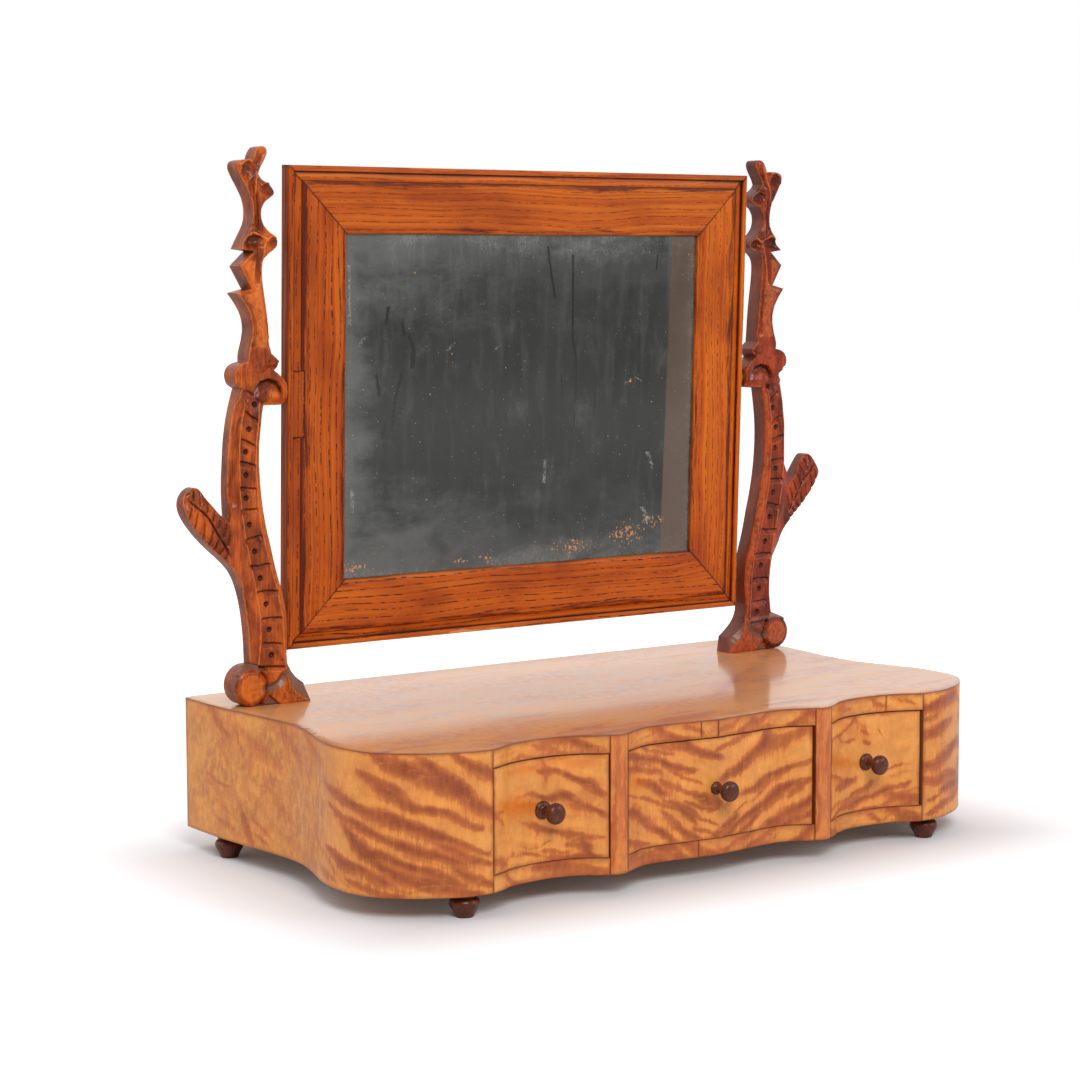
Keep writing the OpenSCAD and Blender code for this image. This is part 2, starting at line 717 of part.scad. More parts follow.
case_bottom();
case_top();
case_back();
side(-1);  // side_left
side(1);  // side_right
partition(-1);  // partition_left
partition(1);  // partition_right
pilaster(-1);  // pilaster_left
pilaster(1);  // pilaster_right
guide(-1);  // guide_left
guide(1);  // guide_right
drawer_stops();
top_veneer();
side_veneer(-1);  // side_veneer_left
side_veneer(1);  // side_veneer_right
rail_veneer(roof_z, roof_z + top_t);  // upper_rail_veneer
rail_veneer(foot_h, run_z);  // lower_rail_veneer
foot(-1, 1);  // foot_front_left
foot(1, 1);  // foot_front_right
foot(-1, 0);  // foot_back_left
foot(1, 0);  // foot_back_right
post(-1);  // post_left
post(1);  // post_right
pivot_pin(-1);  // pivot_pin_left
pivot_pin(1);  // pivot_pin_right
pivot_washer(-1);  // pivot_washer_left
pivot_washer(1);  // pivot_washer_right
stile(-1);  // stile_left
stile(1);  // stile_right
member(180, frame_w, frame_h / 2);  // frame_rail_top
member(0, frame_w, frame_h / 2);  // frame_rail_bottom
mirror_glass();
backboard();
glazing_brads();
drawer_front(LEFT);  // left_drawer_front
drawer_veneer(LEFT);  // left_drawer_veneer
drawer_side(LEFT, 0);  // left_drawer_side_outer
drawer_side(LEFT, 1);  // left_drawer_side_inner
drawer_back(LEFT);  // left_drawer_back
drawer_bottom(LEFT);  // left_drawer_bottom
knob(LEFT);  // left_drawer_knob
drawer_front(CENTRE);  // centre_drawer_front
drawer_veneer(CENTRE);  // centre_drawer_veneer
drawer_side(CENTRE, 0);  // centre_drawer_side_left
drawer_side(CENTRE, 1);  // centre_drawer_side_right
drawer_back(CENTRE);  // centre_drawer_back
drawer_bottom(CENTRE);  // centre_drawer_bottom
knob(CENTRE);  // centre_drawer_knob
drawer_front(RIGHT);  // right_drawer_front
drawer_veneer(RIGHT);  // right_drawer_veneer
drawer_side(RIGHT, 0);  // right_drawer_side_inner
drawer_side(RIGHT, 1);  // right_drawer_side_outer
drawer_back(RIGHT);  // right_drawer_back
drawer_bottom(RIGHT);  // right_drawer_bottom
knob(RIGHT);  // right_drawer_knob
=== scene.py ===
"""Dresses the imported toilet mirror: flame-birch case, carved posts, ash frame and old glass.

Sizes are in millimetres and places in the part's own frame: X to the right, Y to the back, Z up.
Meshes are written in metres.
"""

import json
import logging
import math
from dataclasses import dataclass
from enum import Enum
from typing import Iterable, Sequence

import bmesh
import bpy
import numpy as np
from mathutils import Matrix, Vector
from mathutils.geometry import delaunay_2d_cdt
from mathutils.kdtree import KDTree


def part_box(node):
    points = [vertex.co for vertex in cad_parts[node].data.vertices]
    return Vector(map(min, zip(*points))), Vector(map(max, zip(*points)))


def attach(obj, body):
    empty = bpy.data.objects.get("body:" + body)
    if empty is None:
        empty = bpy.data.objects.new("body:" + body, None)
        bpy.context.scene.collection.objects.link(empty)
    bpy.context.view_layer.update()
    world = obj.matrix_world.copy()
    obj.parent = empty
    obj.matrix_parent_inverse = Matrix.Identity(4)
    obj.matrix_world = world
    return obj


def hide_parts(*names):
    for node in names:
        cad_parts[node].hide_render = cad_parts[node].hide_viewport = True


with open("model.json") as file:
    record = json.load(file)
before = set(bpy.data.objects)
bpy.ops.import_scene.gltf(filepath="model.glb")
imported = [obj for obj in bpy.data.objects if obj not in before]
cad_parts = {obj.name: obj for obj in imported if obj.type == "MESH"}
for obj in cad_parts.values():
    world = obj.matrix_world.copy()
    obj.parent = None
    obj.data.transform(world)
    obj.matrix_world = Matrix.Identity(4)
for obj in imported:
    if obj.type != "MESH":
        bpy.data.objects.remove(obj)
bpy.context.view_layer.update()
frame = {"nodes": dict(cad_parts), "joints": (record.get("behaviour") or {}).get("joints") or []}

MM = 0.001
SAME_PLACE = 1e-6
log = logging.getLogger("toilet_mirror")

Colour = tuple[float, float, float, float]
Triple = tuple[float, float, float]
Line = tuple[tuple[float, float], ...]
Faces = list[tuple[int, ...]]
Rows = np.ndarray
Socket = bpy.types.NodeSocket
Material = bpy.types.Material
Piece = bpy.types.Object

WHITE: Colour = (1.0, 1.0, 1.0, 1.0)


class Side(Enum):
    """The two sides of the piece, as the sign of X."""

    LEFT = -1
    RIGHT = 1

    @property
    def word(self) -> str:
        """The side's name as the nodes spell it."""
        return self.name.lower()


class Along(Enum):
    """The direction that a board's grain runs in."""

    X = 0
    Y = 1
    Z = 2


# ---- sizes from the frame ----


def box(node: str) -> tuple[Rows, Rows]:
    """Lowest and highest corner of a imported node, in millimetres."""
    low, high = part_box(node)
    return np.array(low) / MM, np.array(high) / MM


def srgb(red: int, green: int, blue: int) -> Colour:
    """A colour as a screen shows it, turned into the linear values that shaders take.

    Args:
        red: red from 0 to 255.
        green: green from 0 to 255.
        blue: blue from 0 to 255.

    Returns:
        Linear red, green, blue and a full alpha.
    """
    values = [c / 255 for c in (red, green, blue)]
    linear = [c / 12.92 if c <= 0.04045 else ((c + 0.055) / 1.055) ** 2.4 for c in values]
    return (linear[0], linear[1], linear[2], 1.0)


# ---- curves and point sets ----


def smooth_line(points: Sequence[Sequence[float]] | Rows, step: float) -> Rows:
    """A smooth curve through points, sampled about every step.

    Args:
        points: the points that the curve goes through, one a row.
        step: distance between samples.

    Returns:
        The samples, one a row, with the first and last point kept.
    """
    points = np.asarray(points, float)
    if len(points) < 3:
        count = max(1, math.ceil(float(np.linalg.norm(points[-1] - points[0])) / step))
        share = np.linspace(0, 1, count + 1)[:, None]
        return points[0] * (1 - share) + points[-1] * share
    parts = []
    for i in range(len(points) - 1):
        before, start, end = points[max(i - 1, 0)], points[i], points[i + 1]
        after = points[min(i + 2, len(points) - 1)]
        count = max(1, math.ceil(float(np.linalg.norm(end - start)) / step))
        t = (np.arange(count) / count)[:, None]
        parts.append(
            0.5
            * (
                2 * start
                + (end - before) * t
                + (2 * before - 5 * start + 4 * end - after) * t**2
                + (3 * start - before - 3 * end + after) * t**3
            )
        )
    return np.vstack([*parts, points[-1:]])


def turn_pair(a: Rows, b: Rows, degrees: float) -> tuple[Rows, Rows]:
    """Two columns of places, turned together by an angle."""
    angle = math.radians(degrees)
    return a * math.cos(angle) - b * math.sin(angle), a * math.sin(angle) + b * math.cos(angle)


def running_length(points: Rows) -> Rows:
    """Distance along a line at each of its points."""
    return np.concatenate([[0.0], np.cumsum(np.linalg.norm(np.diff(points, axis=0), axis=1))])


def rounding(distance: Rows, radius: float) -> Rows:
    """How far an edge softened by a radius falls back at a distance from the edge."""
    inside = np.clip(radius - distance, 0, radius)
    return radius - np.sqrt(radius**2 - inside**2)


def ripples(points: Rows, wavelength: float, seed: int, count: int = 7) -> Rows:
    """Smooth irregular waves over a plane, made of sines in seeded directions.

    Args:
        points: places in the plane, one a row.
        wavelength: typical length of a wave.
        seed: choice of the pattern.
        count: number of sines.

    Returns:
        A value from about -1 to 1 at each place.
    """
    dice = np.random.default_rng(seed)
    total = np.zeros(len(points))
    for _ in range(count):
        angle, phase = dice.uniform(0, 2 * math.pi, 2)
        number = 2 * math.pi / (wavelength * dice.uniform(0.6, 1.7))
        total += np.sin((points[:, 0] * math.cos(angle) + points[:, 1] * math.sin(angle)) * number + phase)
    return total / math.sqrt(count * 2)


def line_distance(points: Rows, line: Rows) -> tuple[Rows, Rows]:
    """Distance from each point to a line of straight lengths, and the share of the line reached.

    Args:
        points: places in a plane, one a row.
        line: the line's own points, one a row.

    Returns:
        The distances, and the shares from 0 at the line's start to 1 at its end.
    """
    lengths = running_length(line)
    best = np.full(len(points), 1e9)
    share = np.zeros(len(points))
    for i in range(len(line) - 1):
        span = line[i + 1] - line[i]
        t = portion((points - line[i]) @ span / max(float(span @ span), 1e-9))
        distance = np.linalg.norm(points - line[i] - t[:, None] * span, axis=1)
        nearer = distance < best
        best[nearer] = distance[nearer]
        share[nearer] = ((lengths[i] + t * (lengths[i + 1] - lengths[i])) / lengths[-1])[nearer]
    return best, share


def loop_tree(loop: Rows) -> KDTree:
    """The points of an outline, ready for finding the nearest."""
    tree = KDTree(len(loop))
    for i, (x, y) in enumerate(loop):
        tree.insert((x, y, 0), i)
    tree.balance()
    return tree


def points_inside(loop: Rows, spacing: float, margin: float) -> Rows:
    """Points of a staggered grid inside a closed outline.

    Args:
        loop: the outline's points, one a row.
        spacing: distance between neighbours.
        margin: least distance from the outline's own points.

    Returns:
        The points, one a row.
    """
    following = np.roll(loop, -1, axis=0)
    rise = spacing * math.sqrt(3) / 2
    found = []
    rows = np.arange(loop[:, 1].min() + rise / 2, loop[:, 1].max(), rise)
    for k, level in enumerate(rows):
        crossing = (loop[:, 1] <= level) != (following[:, 1] <= level)
        a, b = loop[crossing], following[crossing]
        places = np.sort(a[:, 0] + (level - a[:, 1]) / (b[:, 1] - a[:, 1]) * (b[:, 0] - a[:, 0]))
        shift = spacing / 2 if k % 2 else 0.0
        for start, end in places.reshape(-1, 2):
            first = math.ceil((start - shift) / spacing)
            last = math.floor((end - shift) / spacing)
            found += [(n * spacing + shift, level) for n in range(first, last + 1)]
    tree = loop_tree(loop)
    return np.array([p for p in found if tree.find((p[0], p[1], 0))[2] > margin])


def fill_outline(loop: Rows, spacing: float) -> tuple[Rows, Faces]:
    """Triangles that fill a closed outline, with a staggered grid of points inside.

    Args:
        loop: the outline's points, one a row.
        spacing: distance between the inner points.

    Returns:
        All points, with the outline's own first, and the triangles turned one way.
    """
    inner = points_inside(loop, spacing, spacing * 0.6)
    points = np.vstack([loop, inner]) if len(inner) else loop
    count = len(loop)
    edges = [(i, (i + 1) % count) for i in range(count)]
    filled = delaunay_2d_cdt([Vector(p) for p in points], edges, [list(range(count))], 1, 1e-6)
    places, triangles, sources = filled[0], filled[2], filled[3]
    renumbered = [min(s) if s else -1 for s in sources]
    extra = [i for i, old in enumerate(renumbered) if old < 0]
    all_points = np.vstack([points, np.array([places[i] for i in extra])]) if extra else points
    for k, i in enumerate(extra):
        renumbered[i] = len(points) + k
    faces = []
    for triangle in triangles:
        a, b, c = (renumbered[i] for i in triangle)
        turn = np.cross(all_points[b] - all_points[a], all_points[c] - all_points[a])
        faces.append((a, b, c) if turn > 0 else (a, c, b))
    return all_points, faces


def edge_distance(points: Rows, loop: Rows) -> Rows:
    """Distance from each point to a closed outline of closely spaced points.

    Args:
        points: places in a plane, one a row.
        loop: the outline's points, one a row.

    Returns:
        The distances.
    """
    tree = loop_tree(loop)
    found = [tree.find((x, y, 0)) for x, y in points]
    nearest = np.array([f[1] for f in found])
    distance = np.array([f[2] for f in found])
    for step in (-1, 1):
        start, end = loop[nearest], loop[(nearest + step) % len(loop)]
        span = end - start
        reach = np.maximum(np.sum(span**2, axis=1), 1e-9)
        t = portion(np.sum((points - start) * span, axis=1) / reach)
        distance = np.minimum(distance, np.linalg.norm(points - start - t[:, None] * span, axis=1))
    return distance


def inner_gap(points: Rows, loop: Rows) -> Rows:
    """Distance from the outline for the points that fill it, which begin with the outline's own."""
    gap = edge_distance(points, loop)
    gap[: len(loop)] = 0.0
    return gap


def portion(values: Rows) -> Rows:
    """Values kept between 0 and 1."""
    return np.clip(values, 0, 1)


# ---- meshes ----


def add_mesh(
    name: str, points: Rows, faces: Sequence[Sequence[int]], material: Material,
    grain: Rows | None = None, marks: dict[str, Rows] | None = None, sharp_angle: float = 40.0,
) -> Piece:
    """Makes an object from points and faces.

    Args:
        name: the piece's name.
        points: places in millimetres, one a row.
        faces: rows of point numbers.
        material: the piece's finish.
        grain: where each point lies in the sheet or board that the figure is drawn on.
        marks: named numbers for each point that the finish reads.
        sharp_angle: angle in degrees past which an edge stays crisp.

    Returns:
        The new object.
    """
    mesh = bpy.data.meshes.new(name)
    mesh.from_pydata((points * MM).tolist(), [], [tuple(f) for f in faces])
    mesh.validate()
    if grain is not None:
        layer = mesh.uv_layers.new(name="grain")
        corners = np.empty(len(mesh.loops), np.int32)
        mesh.loops.foreach_get("vertex_index", corners)
        layer.data.foreach_set("uv", grain[corners].astype(np.float32).ravel())
    for mark, values in (marks or {}).items():
        attribute = mesh.attributes.new(mark, "FLOAT", "POINT")
        attribute.data.foreach_set("value", values.astype(np.float32))
    return show_mesh(mesh, material, sharp_angle)


def ring_faces(first: int, second: int, size: int) -> Faces:
    """Faces between two closed rows of points, given each row's first number and their size."""
    steps = ((i, (i + 1) % size) for i in range(size))
    return [(first + j, first + i, second + i, second + j) for i, j in steps]


def show(name: str, data: bpy.types.ID) -> Piece:
    """Puts an object with its data in the scene."""
    obj = bpy.data.objects.new(name, data)
    bpy.context.scene.collection.objects.link(obj)
    return obj


def show_mesh(mesh: bpy.types.Mesh, material: Material, sharp_angle: float) -> Piece:
    """Puts a mesh in the scene as an object of its name, smooth but for its sharp edges."""
    mesh.materials.append(material)
    mesh.shade_smooth()
    mesh.set_sharp_from_angle(angle=math.radians(sharp_angle))
    return show(mesh.name, mesh)


def node_shape(node: str) -> bmesh.types.BMesh:
    """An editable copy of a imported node's mesh, with its doubled points joined."""
    shape = bmesh.new()
    shape.from_mesh(frame["nodes"][node].data)
    bmesh.ops.remove_doubles(shape, verts=shape.verts, dist=SAME_PLACE)
    return shape


def turn_outward(piece: Piece) -> Piece:
    """Turns all faces of a closed shell outward."""
    shape = bmesh.new()
    shape.from_mesh(piece.data)
    bmesh.ops.recalc_face_normals(shape, faces=shape.faces)
    shape.to_mesh(piece.data)
    shape.free()
    return piece


def place(obj: Piece, body: str, slot: str, *nodes: str) -> Piece:
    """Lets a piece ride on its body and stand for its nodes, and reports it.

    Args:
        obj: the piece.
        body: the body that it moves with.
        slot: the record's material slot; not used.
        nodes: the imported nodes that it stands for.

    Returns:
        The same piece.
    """
    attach(obj, body)
    if nodes:
        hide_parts(*nodes)
    log.info("%s: %d points on %s", obj.name, len(obj.data.vertices), body)
    return obj


# ---- shader sheets ----


class ShaderSheet:
    """Lays out the nodes of one material or world."""

    def __init__(self, owner: Material | bpy.types.World) -> None:
        """Starts with no nodes on a new material or world."""
        self.owner = owner
        owner.use_nodes = True
        self.tree = owner.node_tree
        self.tree.nodes.clear()

    def add(self, kind: str, **settings: object) -> bpy.types.Node:
        """Adds a node and sets its properties.

        Args:
            kind: the node's type without the ShaderNode prefix.
            settings: property names and values.

        Returns:
            The node.
        """
        node = self.tree.nodes.new("ShaderNode" + kind)
        for name, value in settings.items():
            setattr(node, name, value)
        return node

    def feed(self, socket: Socket, value: object) -> None:
        """Links a socket to an output, or sets its plain value."""
        if isinstance(value, Socket):
            self.tree.links.new(value, socket)
        else:
            socket.default_value = value

    def math(self, operation: str, a: object, b: object = 0.0, clamp: bool = False) -> Socket:
        """Result of a sum on one or two numbers."""
        node = self.add("Math", operation=operation, use_clamp=clamp)
        self.feed(node.inputs[0], a)
        self.feed(node.inputs[1], b)
        return node.outputs[0]

    def plus(self, a: object, b: object, clamp: bool = False) -> Socket:
        """The sum of two numbers."""
        return self.math("ADD", a, b, clamp)

    def minus(self, a: object, b: object) -> Socket:
        """The first number less the second."""
        return self.math("SUBTRACT", a, b)

    def times(self, a: object, b: object, clamp: bool = False) -> Socket:
        """The product of two numbers."""
        return self.math("MULTIPLY", a, b, clamp)

    def larger(self, a: object, b: object) -> Socket:
        """The larger of two numbers."""
        return self.math("MAXIMUM", a, b)

    def size(self, value: object) -> Socket:
        """A number without its sign."""
        return self.math("ABSOLUTE", value)

    def sway(self, value: object, noise: object, reach: float) -> Socket:
        """A number moved up and down by a noise, half the reach each way."""
        return self.plus(value, self.times(self.minus(noise, 0.5), reach))

    def parts(self, where: object) -> list[Socket]:
        """The three numbers of a place."""
        node = self.add("SeparateXYZ")
        self.feed(node.inputs[0], where)
        return list(node.outputs)

    def vector(self, operation: str, a: object, b: object) -> Socket:
        """Result of a sum on two vectors."""
        node = self.add("VectorMath", operation=operation)
        self.feed(node.inputs[0], a)
        self.feed(node.inputs[1], b)
        return node.outputs[0]

    def grain_map(self) -> Socket:
        """Place in the sheet or board, in millimetres."""
        return self.add("UVMap", uv_map="grain").outputs[0]

    def object_map(self) -> Socket:
        """Place in the object, in millimetres."""
        place_node = self.add("TexCoord").outputs["Object"]
        return self.vector("MULTIPLY", place_node, (1000.0, 1000.0, 1000.0))

    def mark(self, name: str) -> Socket:
        """A named number of the mesh."""
        return self.add("Attribute", attribute_name=name).outputs["Fac"]

    def noise(
        self, where: object, stretch: Triple, detail: float = 3.0, rough: float = 0.5, bend: float = 0.0,
        shift: float = 0.0,
    ) -> Socket:
        """Cloudy noise from 0 to 1.

        Args:
            where: the place, in millimetres.
            stretch: waves per millimetre along each axis.
            detail: number of finer layers.
            rough: strength of the finer layers.
            bend: how much the noise bends itself.
            shift: moves the pattern, so that pieces differ.

        Returns:
            The noise.
        """
        scaled = self.vector("MULTIPLY", where, stretch)
        moved = self.vector("ADD", scaled, (shift, shift * 0.7, shift * 1.3))
        node = self.add("TexNoise")
        self.feed(node.inputs["Vector"], moved)
        node.inputs["Scale"].default_value = 1.0
        node.inputs["Detail"].default_value = detail
        node.inputs["Roughness"].default_value = rough
        node.inputs["Distortion"].default_value = bend
        return node.outputs[0]

    def fade(self, value: object, low: float, high: float, start: float = 0.0, end: float = 1.0) -> Socket:
        """A soft step from start to end while a value goes from low to high."""
        node = self.add("MapRange", interpolation_type="SMOOTHSTEP")
        self.feed(node.inputs[0], value)
        for socket, number in zip(node.inputs[1:5], (low, high, start, end)):
            socket.default_value = number
        return node.outputs[0]

    def ramp(self, value: object, stops: Sequence[tuple[float, Colour]]) -> Socket:
        """A colour that runs through stops as a value goes from 0 to 1."""
        node = self.add("ValToRGB")
        self.feed(node.inputs[0], value)
        elements = node.color_ramp.elements
        while len(elements) < len(stops):
            elements.new(0.5)
        for element, (position, colour) in zip(elements, stops):
            element.position = position
            element.color = colour
        return node.outputs[0]

    def blend(self, share: object, first: object, second: object, mode: str = "MIX") -> Socket:
        """Two colours mixed by a share."""
        node = self.add("Mix", data_type="RGBA", blend_type=mode)
        self.feed(node.inputs[0], share)
        self.feed(node.inputs[6], first)
        self.feed(node.inputs[7], second)
        return node.outputs[2]

    def bump(self, height: object, depth: float, under: object = None) -> Socket:
        """A surface normal roughened by a height from 0 to 1 over a depth in millimetres."""
        node = self.add("Bump")
        node.inputs["Strength"].default_value = 1.0
        node.inputs["Distance"].default_value = depth * MM
        self.feed(node.inputs["Height"], height)
        if under is not None:
            self.feed(node.inputs["Normal"], under)
        return node.outputs[0]

    def finish(
        self, colour: object, roughness: object, normal: object = None, metallic: object = 0.0,
        coat: float = 0.0, coat_roughness: float = 0.1, specular: float = 0.5,
    ) -> Material:
        """Joins everything in one principled surface.

        Args:
            colour: base colour.
            roughness: roughness of the base.
            normal: roughened normal, if there is one.
            metallic: share of metal.
            coat: strength of a clear polish.
            coat_roughness: roughness of the polish.
            specular: strength of the base's own reflections.

        Returns:
            The material.
        """
        shader = self.add("BsdfPrincipled")
        self.feed(shader.inputs["Base Color"], colour)
        self.feed(shader.inputs["Roughness"], roughness)
        self.feed(shader.inputs["Metallic"], metallic)
        shader.inputs["Coat Weight"].default_value = coat
        shader.inputs["Coat Roughness"].default_value = coat_roughness
        shader.inputs["Specular IOR Level"].default_value = specular
        if normal is not None:
            self.feed(shader.inputs["Normal"], normal)
        self.feed(self.add("OutputMaterial").inputs[0], shader.outputs[0])
        return self.owner


def material_sheet(name: str) -> ShaderSheet:
    """The sheet of a new material."""
    return ShaderSheet(bpy.data.materials.new(name))


# ---- finishes ----


@dataclass(frozen=True)
class FlameBirch:
    """Polished birch veneer with a dark flame figure across its grain."""

    name: str = "flame_birch"
    slot: str = "flame_birch"
    light: Colour = srgb(232, 158, 78)
    honey: Colour = srgb(221, 139, 63)
    band: Colour = srgb(192, 106, 50)
    dark: Colour = srgb(143, 65, 32)
    amber: Colour = srgb(208, 100, 16)
    blush: Colour = srgb(192, 104, 58)
    smudge: Colour = srgb(150, 62, 24)
    grime: Colour = srgb(84, 28, 8)
    shift: float = 0.0
    upright: bool = True
    # Colour of a painted pale sheen standing for the polish's reflection.
    painted_sheen_colour: Colour = srgb(214, 184, 168)
    polish: float = 0.12
    # Share of that painted sheen.
    painted_sheen: float = 0.0

    def material(self) -> Material:
        """Builds the finish from the sheet's figure, fine grain and dirt at its edges."""
        s = material_sheet(self.name)
        where = s.grain_map()
        fine = (0.9, 0.12, 1.0) if self.upright else (0.12, 0.9, 1.0)
        broad = (0.28, 0.07, 1.0) if self.upright else (0.07, 0.28, 1.0)
        streaks = s.noise(where, fine, 4.0, 0.65, 0.0, self.shift)
        soft = s.noise(where, broad, 3.0, 0.5, 0.0, self.shift + 3)
        cloud = s.noise(where, (0.05, 0.06, 1.0), 4.0, 0.6, 0.4, self.shift + 7)
        flame = s.mark("figure")
        ragged = s.sway(flame, streaks, 0.5)
        ragged = s.sway(ragged, soft, 0.5)
        wood = s.ramp(
            s.times(ragged, 1.0, clamp=True),
            [(0.0, self.light), (0.3, self.honey), (0.47, self.band), (1.0, self.dark)],
        )
        mottle = s.noise(where, (0.16, 0.11, 1.0), 4.0, 0.65, 0.3, self.shift + 23)
        patches = s.times(s.mark("blush"), s.fade(mottle, 0.38, 0.6, 0.15, 1.0), clamp=True)
        wood = s.blend(s.times(patches, 0.75), wood, self.blush)
        lights = s.noise(where, (0.12, 0.3, 1.0), 4.0, 0.6, 0.0, self.shift + 29)
        wood = s.blend(s.fade(lights, 0.56, 0.72, 0.0, 0.22), wood, self.light)
        tone = s.fade(cloud, 0.3, 0.7, 0.88, 1.06)
        wood = s.blend(1.0, wood, self._grey(s, tone), "MULTIPLY")
        # The amber mark lays the wood's amber tone; on the drawers it also serves as painted shade at their
        # upper left.
        wood = s.blend(s.times(s.mark("amber"), 0.85, clamp=True), wood, self.amber)
        pores = s.noise(where, (fine[0] * 2.4, fine[1] * 2.4, 1.0), 2.0, 0.6, 0.0, self.shift + 11)
        wood = s.blend(s.fade(pores, 0.62, 0.74, 0.0, 0.28), wood, self.band)
        smudge = s.sway(s.mark("edge"), mottle, 7.0)
        wood = s.blend(s.fade(smudge, 0.0, 4.0, 0.55, 0.0), wood, self.smudge)
        # Painted sheen: a pale pinkish veil over the cloudy parts stands for the polish's reflection.
        if self.painted_sheen:
            wood = s.blend(s.fade(cloud, 0.25, 0.7, self.painted_sheen, self.painted_sheen * 0.3), wood, self.painted_sheen_colour)
        ragged_edge = s.sway(s.mark("edge"), cloud, 1.4)
        wood = s.blend(s.fade(ragged_edge, 0.0, 0.9, 0.62, 0.0), wood, self.grime)
        dents = s.noise(where, (0.11, 0.11, 1.0), 3.0, 0.5, 0.0, self.shift + 17)
        normal = s.bump(dents, 0.22)
        normal = s.bump(pores, 0.012, normal)
        rough = s.fade(cloud, 0.25, 0.75, 0.36, 0.5)
        return s.finish(wood, rough, normal, coat=self.polish, coat_roughness=0.12, specular=0.3)

    @staticmethod
    def _grey(s: ShaderSheet, value: Socket) -> Socket:
        """A grey of a given value."""
        node = s.add("CombineColor")
        for socket in node.inputs[:3]:
            s.feed(socket, value)
        return node.outputs[0]


@dataclass(frozen=True)
class LongWood:
    """Plain wood with grain along one axis, coloured and polished as its settings say, with a painted shade
    darkening its front where asked.
    """

    name: str
    slot: str
    light: Colour
    dark: Colour
    pore: Colour
    along: Along = Along.Z
    shift: float = 0.0
    pore_share: float = 0.25
    ring_width: float = 7.0
    roughness: tuple[float, float] = (0.4, 0.55)
    polish: float = 0.0
    relief: float = 0.03
    # Span in Y and colour of a painted shade that darkens the front, where the gaps round the drawers lie.
    front_shade_span: tuple[float, float] | None = None
    front_shade_colour: Colour = srgb(86, 46, 24)

    def _stretch(self, across: float, lengthwise: float) -> Triple:
        """Waves per millimetre across and along the grain."""
        waves = [across, across, across]
        waves[self.along.value] = lengthwise
        return (waves[0], waves[1], waves[2])

    def material(self) -> Material:
        """Builds the finish from growth rings, streaks and pores."""
        s = material_sheet(self.name)
        where = s.object_map()
        rings = s.noise(where, self._stretch(1 / self.ring_width, 0.005), 2.0, 0.5, 0.3, self.shift)
        streaks = s.noise(where, self._stretch(0.9, 0.02), 4.0, 0.6, 0.0, self.shift + 5)
        pores = s.noise(where, self._stretch(1.8, 0.05), 2.0, 0.5, 0.0, self.shift + 9)
        cloud = s.noise(where, self._stretch(0.03, 0.012), 3.0, 0.5, 0.0, self.shift + 13)
        tone = s.plus(s.times(rings, 0.6), s.times(streaks, 0.4))
        wood = s.ramp(tone, [(0.3, self.light), (0.62, self.dark)])
        wood = s.blend(s.fade(pores, 0.6, 0.68, 0.0, self.pore_share), wood, self.pore)
        wood = s.blend(s.fade(cloud, 0.35, 0.7, 0.0, 0.35), wood, self.dark)
        # Painted shade: the wood darkens towards the front, standing for the shade in the gaps round the
        # drawers.
        if self.front_shade_span is not None:
            start, end = self.front_shade_span
            wood = s.blend(s.fade(s.parts(where)[1], start, end, 0.8, 0.0), wood, self.front_shade_colour)
        normal = s.bump(streaks, self.relief)
        rough = s.fade(streaks, 0.3, 0.7, *self.roughness)
        return s.finish(wood, rough, normal, coat=self.polish, coat_roughness=0.2, specular=0.3)


